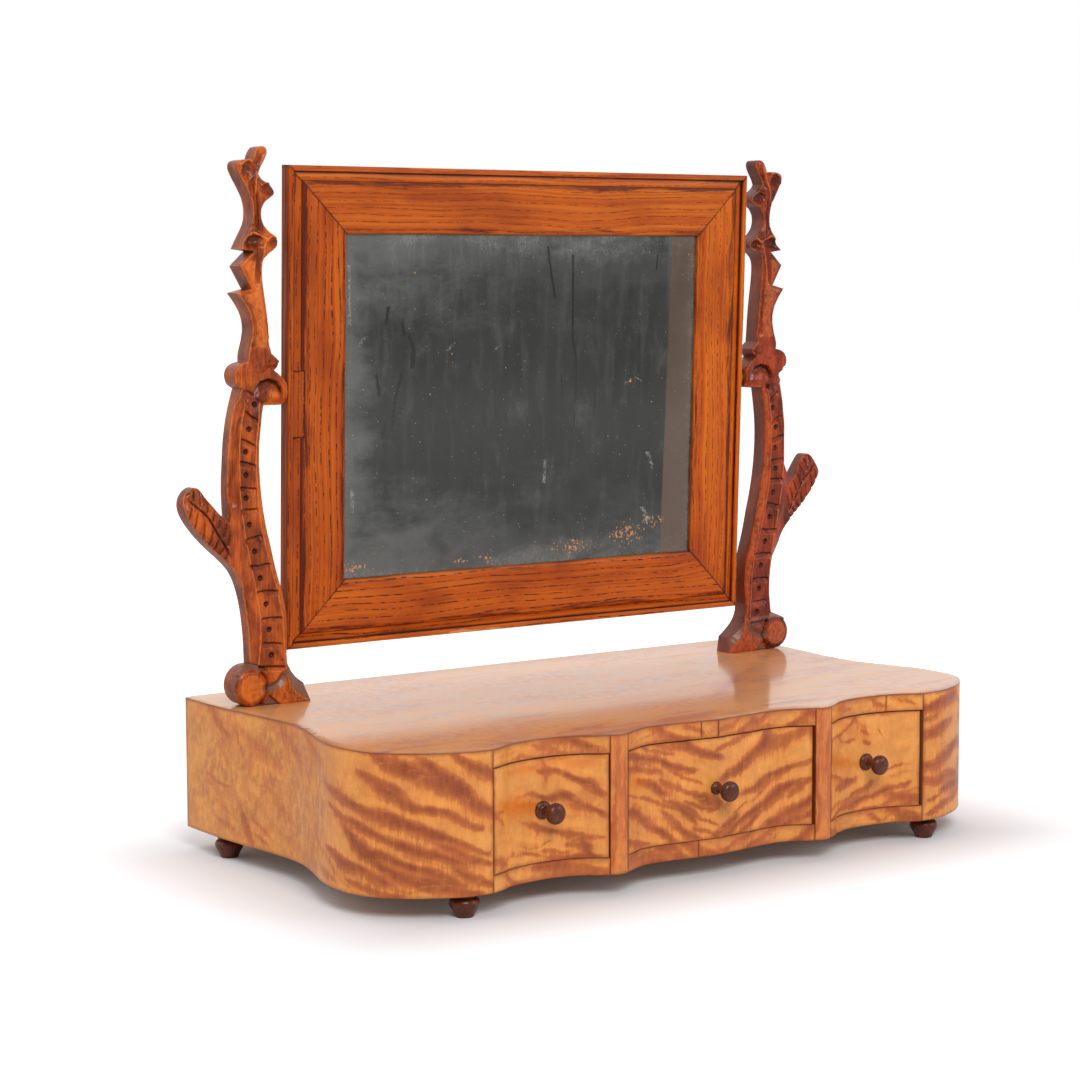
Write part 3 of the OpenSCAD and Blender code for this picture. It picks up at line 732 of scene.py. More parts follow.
@dataclass(frozen=True)
class FrameAsh:
    """Orange-brown ash of the mirror frame, with dark pore lines and dirt in the moulding."""

    name: str
    slot: str = "frame_ash"
    light: Colour = srgb(214, 114, 26)
    amber: Colour = srgb(191, 85, 12)
    dark: Colour = srgb(138, 48, 6)
    pore: Colour = srgb(66, 20, 6)
    grime: Colour = srgb(54, 18, 8)
    bare: Colour = srgb(222, 164, 120)
    soil: Colour = srgb(84, 21, 3)
    shift: float = 0.0
    row_gap: float = 5.4
    row_strength: float = 0.5
    tint: Triple = (1.0, 1.0, 1.0)
    soiled: float = 0.0
    mend: tuple[float, float, float, float] | None = None
    polish: float = 0.1

    def material(self) -> Material:
        """Builds the finish from early-wood rings, pore dashes and the section's own dirt and wear, the
        wear also carrying a painted edge highlight.
        """
        s = material_sheet(self.name)
        where = s.grain_map()
        warp = s.noise(where, (0.008, 0.02, 1.0), 2.0, 0.5, 0.0, self.shift)
        across = s.vector("ADD", where, self._sideways(s, warp))
        rings = s.noise(across, (0.0015, 0.32, 1.0), 2.0, 0.5, 0.0, self.shift + 3)
        lines = s.noise(across, (0.012, 1.1, 1.0), 3.0, 0.6, 0.0, self.shift + 5)
        dashes = s.noise(across, (0.11, 2.4, 1.0), 2.0, 0.5, 0.0, self.shift + 9)
        cloud = s.noise(where, (0.012, 0.03, 1.0), 3.0, 0.5, 0.3, self.shift + 13)
        wood = s.ramp(rings, [(0.36, self.light), (0.66, self.amber), (1.0, self.dark)])
        wood = s.blend(s.fade(lines, 0.52, 0.66, 0.0, 0.16), wood, self.dark)
        early = s.fade(rings, 0.42, 0.62)
        early_share = s.plus(s.times(early, 0.35), 0.1)
        dash_share = s.times(s.fade(dashes, 0.54, 0.64), early_share)
        bend = s.noise(where, (0.006, 0.05, 1.0), 2.0, 0.5, 0.0, self.shift + 19)
        row_place = s.plus(s.parts(across)[1], s.times(bend, 7.0))
        rows = s.fade(s.math("PINGPONG", row_place, self.row_gap / 2), 0.15, 0.6, 1.0, 0.0)
        broken = s.noise(where, (0.16, 0.35, 1.0), 3.0, 0.7, 0.0, self.shift + 21)
        row_share = s.times(rows, s.fade(broken, 0.46, 0.54, 0.0, self.row_strength * 1.6))
        dash_share = s.larger(dash_share, row_share)
        wood = s.blend(s.times(dash_share, 0.82, clamp=True), wood, self.pore)
        wood = s.blend(s.fade(cloud, 0.42, 0.72, 0.0, 0.6), wood, self.dark)
        patchy = s.sway(s.mark("dirt"), cloud, 0.9)
        blotch = s.noise(where, (0.022, 0.22, 1.0), 5.0, 0.7, 0.2, self.shift + 27)
        stain = s.times(s.mark("stain"), 1 + self.soiled)
        stain = s.sway(stain, blotch, 3.0)
        stain_share = s.fade(stain, 0.45, 1.15, 0.0, 0.9)
        dirt_share = s.fade(patchy, 0.25, 0.95, 0.0, 0.92)
        if self.mend is not None:
            outline = self._mend_distance(s, where, s.times(s.minus(broken, 0.5), 2.2))
            bare_wood = s.fade(outline, -0.4, 0.0, 0.25, 1.0)
            stain_share = s.times(stain_share, bare_wood)
            seam = s.fade(s.size(outline), 0.25, 0.75, 0.95, 0.0)
            dirt_share = s.larger(s.times(dirt_share, bare_wood), seam)
        wood = s.blend(stain_share, wood, self.soil)
        wood = s.blend(1.0, wood, (*self.tint, 1.0), "MULTIPLY")
        wood = s.blend(dirt_share, wood, self.grime)
        # Pale bare wood where the lip is rubbed and chipped; on the bottom rail and right stile also a
        # painted highlight along its outer edge.
        rub = s.sway(s.mark("wear_and_highlight"), dashes, 0.8)
        wood = s.blend(s.fade(rub, 0.55, 0.9, 0.0, 0.75), wood, self.bare)
        normal = s.bump(lines, 0.05)
        normal = s.bump(dash_share, -0.03, normal)
        rough = s.fade(lines, 0.3, 0.7, 0.36, 0.5)
        return s.finish(wood, rough, normal, coat=self.polish, coat_roughness=0.15, specular=0.14)

    def _mend_distance(self, s: ShaderSheet, where: Socket, wander: Socket) -> Socket:
        """Distance outside the outline of a let-in piece, less than nothing inside it.

        Args:
            s: the material's sheet.
            where: place in the member's sheet.
            wander: small moves that make the outline irregular.

        Returns:
            The distance in millimetres.
        """
        x, y, _ = s.parts(where)
        left, right, low, high = self.mend
        lengthwise = s.size(s.minus(x, (left + right) / 2))
        across = s.size(s.minus(y, (low + high) / 2))
        past_end = s.minus(lengthwise, (right - left) / 2)
        past_side = s.minus(across, (high - low) / 2)
        return s.plus(s.larger(past_end, past_side), wander)

    @staticmethod
    def _sideways(s: ShaderSheet, warp: Socket) -> Socket:
        """Moves the rings sideways by up to a few millimetres."""
        node = s.add("CombineXYZ")
        s.feed(node.inputs[1], s.times(warp, 12.0))
        return node.outputs[0]


@dataclass(frozen=True)
class CarvedBirch:
    """Reddish-brown stained and varnished carving, with painted shade in its cuts and a rubbed, painted
    highlight on its arrises.
    """

    name: str
    slot: str = "stained_birch"
    light: Colour = srgb(200, 94, 22)
    mid: Colour = srgb(156, 64, 14)
    dark: Colour = srgb(96, 36, 10)
    # Near-black brown of the painted shade in cuts and hollows.
    cut: Colour = srgb(44, 22, 14)
    # Light orange of rubbed arrises, also used as a painted highlight.
    rubbed: Colour = srgb(222, 122, 46)
    side: Colour = srgb(94, 56, 40)
    # Grey-brown of scraped bare wood, also laid as painted shade on the foot's long chamfer.
    scraped_and_shaded: Colour = srgb(118, 84, 68)
    shift: float = 0.0
    side_share: float = 0.35
    polish: float = 0.17

    def material(self) -> Material:
        """Builds the finish from the carving's cuts and arrises over a cloudy stain."""
        s = material_sheet(self.name)
        where = s.object_map()
        stain = s.noise(where, (0.07, 0.07, 0.035), 4.0, 0.6, 0.5, self.shift)
        streaks = s.noise(where, (0.9, 0.9, 0.03), 4.0, 0.6, 0.0, self.shift + 5)
        spots = s.noise(where, (0.35, 0.35, 0.25), 3.0, 0.6, 0.0, self.shift + 9)
        tone = s.plus(s.times(stain, 0.7), s.times(streaks, 0.3))
        wood = s.ramp(tone, [(0.38, self.light), (0.5, self.mid), (0.62, self.dark)])
        wood = s.blend(s.mark("side"), wood, s.blend(self.side_share, wood, self.side))
        # Bare scraped wood in grey-brown, and on the foot's long chamfer a painted shade.
        dull = s.sway(s.mark("bare"), spots, 0.5)
        wood = s.blend(s.fade(dull, 0.3, 0.9, 0.0, 0.85), wood, self.scraped_and_shaded)
        # Painted shade: the cut mark darkens cuts, notches, dots, hollows, undercuts and the sunk band,
        # where shade falls and stain gathers.
        deep = s.sway(s.mark("cut"), spots, 0.35)
        wood = s.blend(s.fade(deep, 0.12, 0.95, 0.0, 0.95), wood, self.cut)
        # Rubbed wear with a painted highlight on ridges, edges, the disc's face and the inner chamfers.
        rub = s.sway(s.mark("rub_and_highlight"), spots, 0.9)
        wood = s.blend(s.fade(rub, 0.45, 1.0, 0.0, 0.75), wood, self.rubbed)
        normal = s.bump(spots, 0.25)
        normal = s.bump(streaks, 0.05, normal)
        rough = s.fade(spots, 0.3, 0.7, 0.3, 0.46)
        return s.finish(wood, rough, normal, coat=self.polish, coat_roughness=0.12, specular=0.2)


@dataclass(frozen=True)
class Ebonised:
    """Nearly black stained birch of the knobs and feet, with a satin polish."""

    name: str = "ebonised_birch"
    slot: str = "ebonised_birch"
    base: Colour = srgb(80, 35, 17)
    worn: Colour = srgb(130, 58, 26)
    tool_marks: Colour = srgb(24, 15, 14)

    def material(self) -> Material:
        """Builds the finish from a dark stain that wears through in places."""
        s = material_sheet(self.name)
        where = s.object_map()
        cloud = s.noise(where, (0.25, 0.25, 0.25), 4.0, 0.6, 0.3, 2.0)
        turning = s.noise(where, (0.3, 1.6, 0.3), 3.0, 0.5, 0.0, 4.0)
        wood = s.blend(s.fade(cloud, 0.45, 0.75, 0.0, 0.7), self.base, self.worn)
        wood = s.blend(s.fade(turning, 0.55, 0.75, 0.0, 0.4), wood, self.tool_marks)
        normal = s.bump(turning, 0.04)
        rough = s.fade(cloud, 0.3, 0.7, 0.3, 0.44)
        return s.finish(wood, rough, normal, coat=0.16, coat_roughness=0.2, specular=0.3)


@dataclass(frozen=True)
class OldMetal:
    """Bare metal dulled by age."""

    name: str
    slot: str
    bright: Colour
    dull: Colour

    def material(self) -> Material:
        """Builds the finish from clean metal and patches of tarnish."""
        s = material_sheet(self.name)
        where = s.object_map()
        cloud = s.noise(where, (0.5, 0.5, 0.5), 4.0, 0.6, 0.2, 1.0)
        colour = s.blend(s.fade(cloud, 0.4, 0.65), self.bright, self.dull)
        rough = s.fade(cloud, 0.35, 0.7, 0.3, 0.6)
        return s.finish(colour, rough, s.bump(cloud, 0.02), metallic=0.9)


@dataclass(frozen=True)
class OldMirror:
    """Old glass whose silvering is painted a dark grey, a painted reflection of the dim room in front: hazy
    at its edges, cracked, with specks along the bottom.
    """

    half_w: float
    half_h: float
    name: str = "old_mirror"
    slot: str = "old_mirror"
    metal: float = 0.6
    # Dark greys painted on the silvering, standing for the dim room that it reflects.
    silver: Colour = srgb(62, 64, 60)
    cloudy: Colour = srgb(50, 52, 49)
    lower: Colour = srgb(36, 39, 37)
    grazed: Colour = srgb(168, 168, 160)
    haze: Colour = srgb(128, 130, 126)
    crack: Colour = srgb(16, 17, 17)
    speck: Colour = srgb(190, 132, 74)
    stain: Colour = srgb(104, 84, 70)
    # Each crack and scratch is two ends and a width, each flaked place a middle and a reach.
    cracks: tuple[tuple[float, ...], ...] = (
        (-124, 74, -126, 60, 0.8), (-112, 62, -110, 52, 0.7), (-107, 54, -102, 42, 1.1),
        (-102, 42, -103, 27, 1.3), (-112, 24, -118, 4, 0.9), (-134, 24, -131, 8, 0.8),
        (-118, 4, -120, -18, 1.0), (-127, -14, -128, -24, 1.0), (-126, -58, -124, -66, 1.0),
        (18, 118, 22, 96, 0.5), (22, 96, 26, 78, 0.7), (42, 112, 43, 48, 0.7), (43, 48, 47, 30, 0.7),
        (47, 30, 47, -2, 0.6), (46, -10, 45, -32, 0.6), (33, 20, 35, 2, 0.4), (67, 20, 65, -14, 0.4),
        (124, 112, 123, 100, 0.5),
    )
    scratches: tuple[tuple[float, ...], ...] = (
        (-72, 40, -66, 46, 0.9), (-29, 40, -25, 43, 0.6), (19, -46, 18, -64, 0.7),
        (-158, 104, -157, 60, 0.7), (-149, 44, -144, 52, 0.9), (-154, -60, -154, -78, 0.8),
        (118, -44, 124, -58, 1.0), (114, -88, 121, -102, 1.4), (104, 16, 112, 12, 0.7),
    )
    flaked: tuple[Triple, ...] = (
        (-151, -119, 16.0), (-60, -120, 10.0), (-34, -118, 12.0), (46, -116, 22.0), (98, -108, 26.0),
        (124, -100, 18.0), (100, 12, 8.0),
    )

    def material(self) -> Material:
        """Builds the finish in the glass's own plane, with its middle at the origin."""
        s = material_sheet(self.name)
        where = s.grain_map()
        x, z, _ = s.parts(where)
        cloud = s.noise(where, (0.012, 0.009, 1.0), 4.0, 0.55, 0.6, 2.0)
        wipes = s.noise(where, (0.16, 0.02, 1.0), 3.0, 0.55, 0.0, 5.0)
        fine = s.noise(where, (0.9, 0.5, 1.0), 3.0, 0.7, 0.0, 8.0)
        # Painted reflection: the glass takes a cloudy dark grey for the room it mirrors, darker towards the
        # bottom.
        colour = s.blend(s.fade(cloud, 0.36, 0.68, 0.0, 0.6), self.silver, self.cloudy)
        colour = s.blend(s.fade(z, -self.half_h, 70.0, 1.0, 0.0), colour, self.lower)
        colour = s.blend(s.fade(wipes, 0.48, 0.72, 0.0, 0.085), colour, self.haze)
        smear = s.noise(where, (0.02, 0.035, 1.0), 6.0, 0.68, 0.25, 31.0)
        from_side = s.minus(self.half_w, s.size(x))
        from_end = s.minus(self.half_h, s.size(z))
        from_edge = s.math("MINIMUM", s.times(from_side, 2.4), from_end)
        ragged = s.sway(from_edge, smear, 90.0)
        haze_share = s.times(s.fade(ragged, -30.0, 34.0, 0.9, 0.0), s.fade(fine, 0.2, 0.7, 0.5, 1.0))
        near_left = s.fade(x, -self.half_w, 60.0, 1.0, 0.35)
        mottled = s.sway(from_edge, smear, 160.0)
        broad = s.times(s.fade(mottled, 0.0, 80.0, 0.42, 0.0), near_left)
        haze_share = s.larger(haze_share, broad)
        drift = s.noise(where, (0.03, 0.016, 1.0), 5.0, 0.62, 0.2, 37.0)
        haze_share = s.larger(haze_share, s.fade(drift, 0.52, 0.78, 0.0, 0.22))
        glint = s.times(s.fade(fine, 0.6, 0.68), s.fade(from_side, 1.0, 6.0, 0.9, 0.0))
        haze_share = s.larger(haze_share, s.times(glint, s.fade(smear, 0.45, 0.6)))
        colour = s.blend(haze_share, colour, self.haze)
        slanted = s.minus(x, s.times(z, 0.021))
        band = s.times(s.fade(slanted, 134.6, 136.4), s.fade(from_side, 1.0, 4.0, 0.3, 0.8))
        colour = s.blend(band, colour, self.stain)
        specks = s.noise(where, (0.55, 0.42, 1.0), 2.0, 0.6, 0.0, 12.0)
        near: object = 0.0
        for place_x, place_z, reach in self.flaked:
            away_x = s.size(s.minus(x, place_x))
            away_z = s.times(s.size(s.minus(z, place_z)), 2.2)
            near = s.larger(near, s.fade(s.plus(away_x, away_z), 0.0, reach * 1.6, 0.2, 0.0))
        speck_share = s.fade(s.plus(specks, near), 0.72, 0.76)
        colour = s.blend(speck_share, colour, self.speck)
        share: object = 0.0
        scratched: object = 0.0
        for crack in self.cracks:
            share = s.larger(share, self._crack(s, x, z, crack, fine))
        for scratch in self.scratches:
            scratched = s.larger(scratched, self._crack(s, x, z, scratch, fine))
        colour = s.blend(s.times(scratched, s.fade(specks, 0.4, 0.62, 0.0, 0.5)), colour, self.grazed)
        colour = s.blend(share, colour, self.crack)
        damage = s.larger(share, speck_share)
        dull = s.plus(damage, haze_share, clamp=True)
        metal = s.minus(self.metal, s.times(dull, 0.7))
        rough = s.plus(s.fade(wipes, 0.3, 0.75, 0.1, 0.2), s.times(haze_share, 0.25))
        waves = s.noise(where, (0.012, 0.02, 1.0), 1.0, 0.5, 0.0, 21.0)
        return s.finish(colour, rough, s.bump(waves, 0.05), metallic=metal, coat=0.3, coat_roughness=0.05)

    @staticmethod
    def _crack(s: ShaderSheet, x: Socket, z: Socket, crack: tuple[float, ...], fine: Socket) -> Socket:
        """Share of a ragged crack between two points.

        Args:
            s: the material's sheet.
            x: place across the glass.
            z: place up the glass.
            crack: its two ends and its width, in millimetres.
            fine: noise that breaks it up.

        Returns:
            The share from 0 to 1.
        """
        x0, z0, x1, z1, width = crack
        middle = (z0 + z1) / 2
        half = abs(z1 - z0) / 2
        lean = (x1 - x0) / (z1 - z0)
        line = s.plus(s.times(z, lean), x0 - lean * z0)
        across = s.size(s.sway(s.minus(x, line), fine, 3.4))
        ends_off = s.size(s.minus(z, middle))
        inside = s.math("LESS_THAN", ends_off, half)
        broken = s.fade(fine, 0.34, 0.42)
        edge = s.fade(across, width * 1.2, width * 2.2, 1.0, 0.0)
        return s.times(edge, s.times(inside, broken))


# ---- figure of the veneers ----


@dataclass(frozen=True)
class Flame:
    """One dark flame of the figure: its two ends in the sheet, width, strength and bow."""

    x0: float
    z0: float
    x1: float
    z1: float
    width: float
    strength: float = 0.8
    bow: float = 0.0


def flame_table(*rows: tuple[float, ...]) -> tuple[Flame, ...]:
    """Flames from rows of their numbers."""
    return tuple(Flame(*row) for row in rows)


def draw_flames(where: Rows, flames: Iterable[Flame], seed: int) -> Rows:
    """Strength of the figure at each place of a sheet.

    Args:
        where: places in the sheet, one a row.
        flames: the flames to draw.
        seed: choice of the small waves that make the flames irregular.

    Returns:
        A value from 0, plain wood, to 1, the darkest flame.
    """
    waves = np.column_stack([ripples(where, 26, seed), ripples(where, 24, seed + 1)]) * 1.6
    waves += np.column_stack([ripples(where, 7, seed + 2), ripples(where, 6, seed + 3)]) * 0.5
    bent = where + waves
    clear = np.ones(len(where))
    for flame in flames:
        start, end = np.array([flame.x0, flame.z0]), np.array([flame.x1, flame.z1])
        length = max(float(np.linalg.norm(end - start)), 0.1)
        way = (end - start) / length
        beyond = (bent - start) @ way / length
        t = portion(beyond)
        off = (bent - start) @ np.array([-way[1], way[0]]) - flame.bow * 4 * t * (1 - t)
        reach = np.abs(beyond - t) * length
        half = flame.width * 0.5 * (0.45 + 0.55 * np.sqrt(np.sin(math.pi * (0.06 + 0.88 * t))))
        half = half * np.where(off > 0, 0.8, 1.35)
        clear *= 1 - flame.strength / (1 + ((off / half) ** 2 + (reach / flame.width) ** 2) ** 1.4)
    return 1 - clear


def scattered_flames(
    area: tuple[float, float, float, float], slope: float, count: int, seed: int, strength: float,
    length: float = 26.0, width: float = 5.0,
) -> list[Flame]:
    """Flames laid at random over a part of a sheet, all leaning the same way.

    Args:
        area: left, right, bottom and top of the part.
        slope: rise of a flame for each millimetre to the right.
        count: number of flames.
        seed: choice of their places.
        strength: greatest strength.
        length: typical length.
        width: typical width.

    Returns:
        The flames.
    """
    dice = np.random.default_rng(seed)
    left, right, bottom, top = area
    flames = []
    for _ in range(count):
        x, z = dice.uniform(left, right), dice.uniform(bottom, top)
        reach = length * dice.uniform(0.5, 1.3)
        lean = slope + dice.uniform(-0.12, 0.12)
        flames.append(
            Flame(
                x - reach / 2, z - lean * reach / 2, x + reach / 2, z + lean * reach / 2,
                width * dice.uniform(0.5, 1.4), strength * dice.uniform(0.4, 1.0), dice.uniform(-2, 2),
            )
        )
    return flames


CENTRE_FLAMES = flame_table(
    (-88, 96, -58, 90, 5.5, 0.85), (-62, 98, -40, 92, 3.2, 0.6), (-50, 99, -30, 94, 4, 0.55),
    (-30, 98, -2, 87, 6, 0.85), (-88, 88, -70, 85, 3.5, 0.65), (-72, 86, -50, 80, 3.4, 0.6),
    (-53, 89, -40, 84, 3.5, 0.55), (-45, 86, -22, 79, 5.2, 0.85), (-68, 76, -46, 66, 6.5, 0.85, 1),
    (-48, 74, -26, 63, 4, 0.6), (-35, 78, -16, 68, 3, 0.5), (-84, 70, -72, 66, 2.4, 0.5),
    (-84, 58, -66, 51, 8, 0.85, 1), (-64, 63, -40, 54, 3.6, 0.6), (-40, 58, -20, 49, 4, 0.65),
    (-16, 60, 0, 53, 6, 0.8), (-26, 56, -3, 50, 2.6, 0.65), (-64, 49, -49, 40, 4.6, 0.75),
    (-50, 40, -38, 32, 5, 0.75), (-45, 50, -34, 41, 4, 0.65), (-32, 51, -20, 42, 4.4, 0.75),
    (-22, 47, -2, 39, 3, 0.6), (-33, 38, -18, 30, 5, 0.75), (-87, 38, -63, 31, 5, 0.7),
    (-18, 36, -4, 30, 3.6, 0.6), (2, 92, 26, 100, 5, 0.6), (8, 73, 45, 93, 9, 0.85, -3),
    (44, 96, 52, 101, 4, 0.5), (48, 88, 76, 96, 12, 0.6), (31, 60, 64, 71, 6.5, 0.8, -1),
    (30, 41, 64, 57, 7.5, 0.85, -1), (60, 57, 82, 63, 4.5, 0.7), (68, 71, 82, 75, 3, 0.5),
    (69, 52, 76, 58, 5, 0.5), (22, 29, 34, 36, 5, 0.75), (9, 31, 25, 40, 3.6, 0.7),
    (0, 32, 14, 40, 5.5, 0.75), (51, 33, 80, 46, 8, 0.9, -2), (62, 30, 80, 36, 4.5, 0.8),
    (14, 44, 26, 50, 2.4, 0.4),
)

LEFT_FLAMES = flame_table(
    (-144, 91, -120, 85, 4.5, 0.8, 1), (-122, 85, -106, 74, 5.5, 0.85, 2), (-143, 98, -141, 86, 5, 0.45),
    (-145, 74, -122, 70, 4, 0.75), (-124, 69, -105, 61, 5.5, 0.85), (-158, 76, -143, 74, 4, 0.35),
    (-151, 55, -142, 51, 4, 0.75), (-135, 48, -119, 45, 4.5, 0.65), (-121, 41, -105, 43, 3.6, 0.55),
    (-125, 39, -114, 36, 4, 0.6), (-114, 36, -110, 31, 5, 0.85), (-144, 36, -128, 34, 4, 0.55),
    (-157, 36, -147, 33, 3, 0.5), (-136, 31, -104, 29, 3.4, 0.55), (-190, 37, -181, 34, 6, 0.55),
    (-190, 70, -184, 62, 4, 0.5), (-184, 69, -182, 68, 3, 0.6), (-162, 58, -150, 52, 3, 0.35),
)

# Amber patches at the left side and top of the left drawer: the wood's own amber colour, and painted shade.
LEFT_AMBER_AND_SHADE = flame_table(
    (-178, 72, -152, 66, 12, 0.75), (-172, 95, -150, 95, 6, 0.65), (-134, 97, -114, 96, 6, 0.6),
    (-108, 98, -103, 97, 4, 0.5),
)

RIGHT_FLAMES = flame_table(
    (99, 86, 116, 88, 3, 0.5), (115, 88, 132, 97, 3, 0.7), (136, 96, 141, 93, 8, 0.45),
    (126, 82, 131, 82, 2.6, 0.7), (144, 87, 148, 85, 2.8, 0.75), (146, 80, 149, 79, 2.8, 0.75),
    (117, 84, 121, 82, 2.4, 0.6), (96, 61, 114, 58, 4.5, 0.6), (112, 50, 124, 51, 6, 0.65),
    (121, 54, 132, 52, 3.6, 0.65), (135, 42, 150, 47, 4.5, 0.65), (96, 35, 126, 39, 3, 0.45),
    (104, 30, 140, 36, 3.8, 0.65), (138, 36, 166, 41, 3.4, 0.75), (162, 41, 180, 46, 4.2, 0.7),
    (174, 36, 190, 33, 8, 0.7), (140, 29, 166, 28, 3.4, 0.6), (160, 86, 163, 81, 2, 0.5),
    (150, 100, 178, 100, 3, 0.5), (170, 52, 180, 54, 4, 0.35),
)

# Amber patches at the upper left of the right drawer: the wood's own amber colour, and painted shade.
RIGHT_AMBER_AND_SHADE = flame_table(
    (96, 76, 112, 68, 12, 0.6), (116, 68, 132, 65, 6, 0.7), (108, 99, 124, 96, 5, 0.5),
    (130, 90, 142, 86, 10, 0.4),
)

UPPER_FLAMES = flame_table(
    (-184, 108, -168, 106, 5, 0.35), (-152, 110, -138, 105, 5, 0.4), (-120, 109, -112, 106, 5, 0.85),
    (-50, 109, -28, 102, 7, 0.75), (-25, 110, -14, 105, 4, 0.6), (0, 103, 16, 110, 4, 0.6),
    (20, 102, 44, 110, 5.5, 0.75), (70, 102, 82, 109, 6, 0.75), (118, 110, 128, 106, 5, 0.4),
    (152, 110, 158, 106, 4, 0.6), (176, 109, 182, 107, 4, 0.5),
)

LOWER_FLAMES = flame_table(
    (-146, 25, -104, 20, 7, 0.6), (-176, 24, -170, 18, 4, 0.5), (-80, 25, -52, 21, 9, 0.65),
    (-48, 27, -30, 19, 6, 0.75), (-26, 27, -8, 19, 7, 0.75), (5, 19, 30, 27, 4.4, 0.7),
    (30, 18, 52, 26, 4.4, 0.7), (72, 17, 84, 27, 7, 0.75), (98, 23, 110, 18, 3.6, 0.5),
    (150, 24, 158, 21, 3.4, 0.6), (174, 24, 192, 18, 9, 0.75),
)

LEFT_END_FLAMES = flame_table(
    (-282, 112, -262, 100, 8, 0.8), (-262, 104, -244, 94, 8, 0.85), (-246, 104, -224, 88, 10, 0.9),
    (-222, 107, -202, 96, 9, 0.85), (-226, 86, -203, 70, 8, 0.85), (-292, 97, -270, 89, 6, 0.75),
    (-276, 87, -246, 74, 6.5, 0.85), (-246, 76, -212, 63, 5, 0.75), (-328, 86, -304, 78, 7, 0.75),
    (-302, 78, -274, 68, 6.5, 0.8), (-274, 71, -242, 58, 7, 0.9), (-244, 60, -208, 44, 5, 0.75),
    (-326, 71, -300, 64, 5, 0.6), (-300, 66, -280, 58, 4, 0.6), (-292, 60, -262, 51, 5.5, 0.75),
    (-262, 53, -232, 42, 6, 0.85), (-302, 56, -286, 43, 8, 0.9), (-286, 46, -258, 38, 5.5, 0.8),
    (-262, 39, -226, 26, 5.5, 0.75), (-328, 43, -304, 34, 7, 0.75), (-304, 37, -278, 28, 5.5, 0.75),
    (-276, 35, -250, 24, 7, 0.8), (-250, 28, -214, 18, 5.5, 0.75), (-302, 25, -268, 18, 5, 0.6),
    (-236, 50, -205, 35, 4.6, 0.7), (-228, 34, -203, 23, 4.6, 0.7), (-390, 112, -345, 101, 9, 0.32),
    (-352, 44, -324, 30, 7, 0.36), (-342, 26, -322, 22, 6, 0.4), (-470, 97, -438, 84, 13, 0.38),
    (-430, 113, -402, 92, 13, 0.4), (-442, 64, -416, 46, 9, 0.34), (-420, 30, -380, 22, 8, 0.28),
    (-473, 38, -466, 24, 8, 0.7), (-462, 37, -448, 31, 4, 0.5), (-458, 26, -446, 22, 4, 0.45),
    (-514, 110, -497, 98, 10, 0.5), (-522, 62, -494, 56, 4, 0.45), (-510, 44, -492, 38, 4, 0.36),
    (-506, 30, -484, 24, 6, 0.36), (-500, 86, -488, 66, 4, 0.34), (-488, 104, -470, 80, 4, 0.3),
)

RIGHT_END_FLAMES = flame_table(
    (205, 102, 236, 106, 10, 0.9), (206, 82, 228, 87, 10, 0.85), (204, 92, 214, 94, 4, 0.6),
    (207, 58, 242, 68, 10, 0.8), (240, 69, 286, 66, 7, 0.65), (206, 47, 246, 47, 9, 0.75),
    (208, 32, 218, 33, 3.4, 0.7), (225, 37, 246, 40, 5, 0.8), (244, 40, 284, 38, 4.4, 0.6),
    (209, 22, 230, 27, 6, 0.75), (236, 112, 262, 100, 8, 0.5),
)

TOP_FLAMES = flame_table(
    (-40, -128, 0, -120, 16, 0.6), (-150, -136, -80, -140, 12, 0.55), (60, -60, 160, 20, 14, 0.4)
)


# ---- the case ----


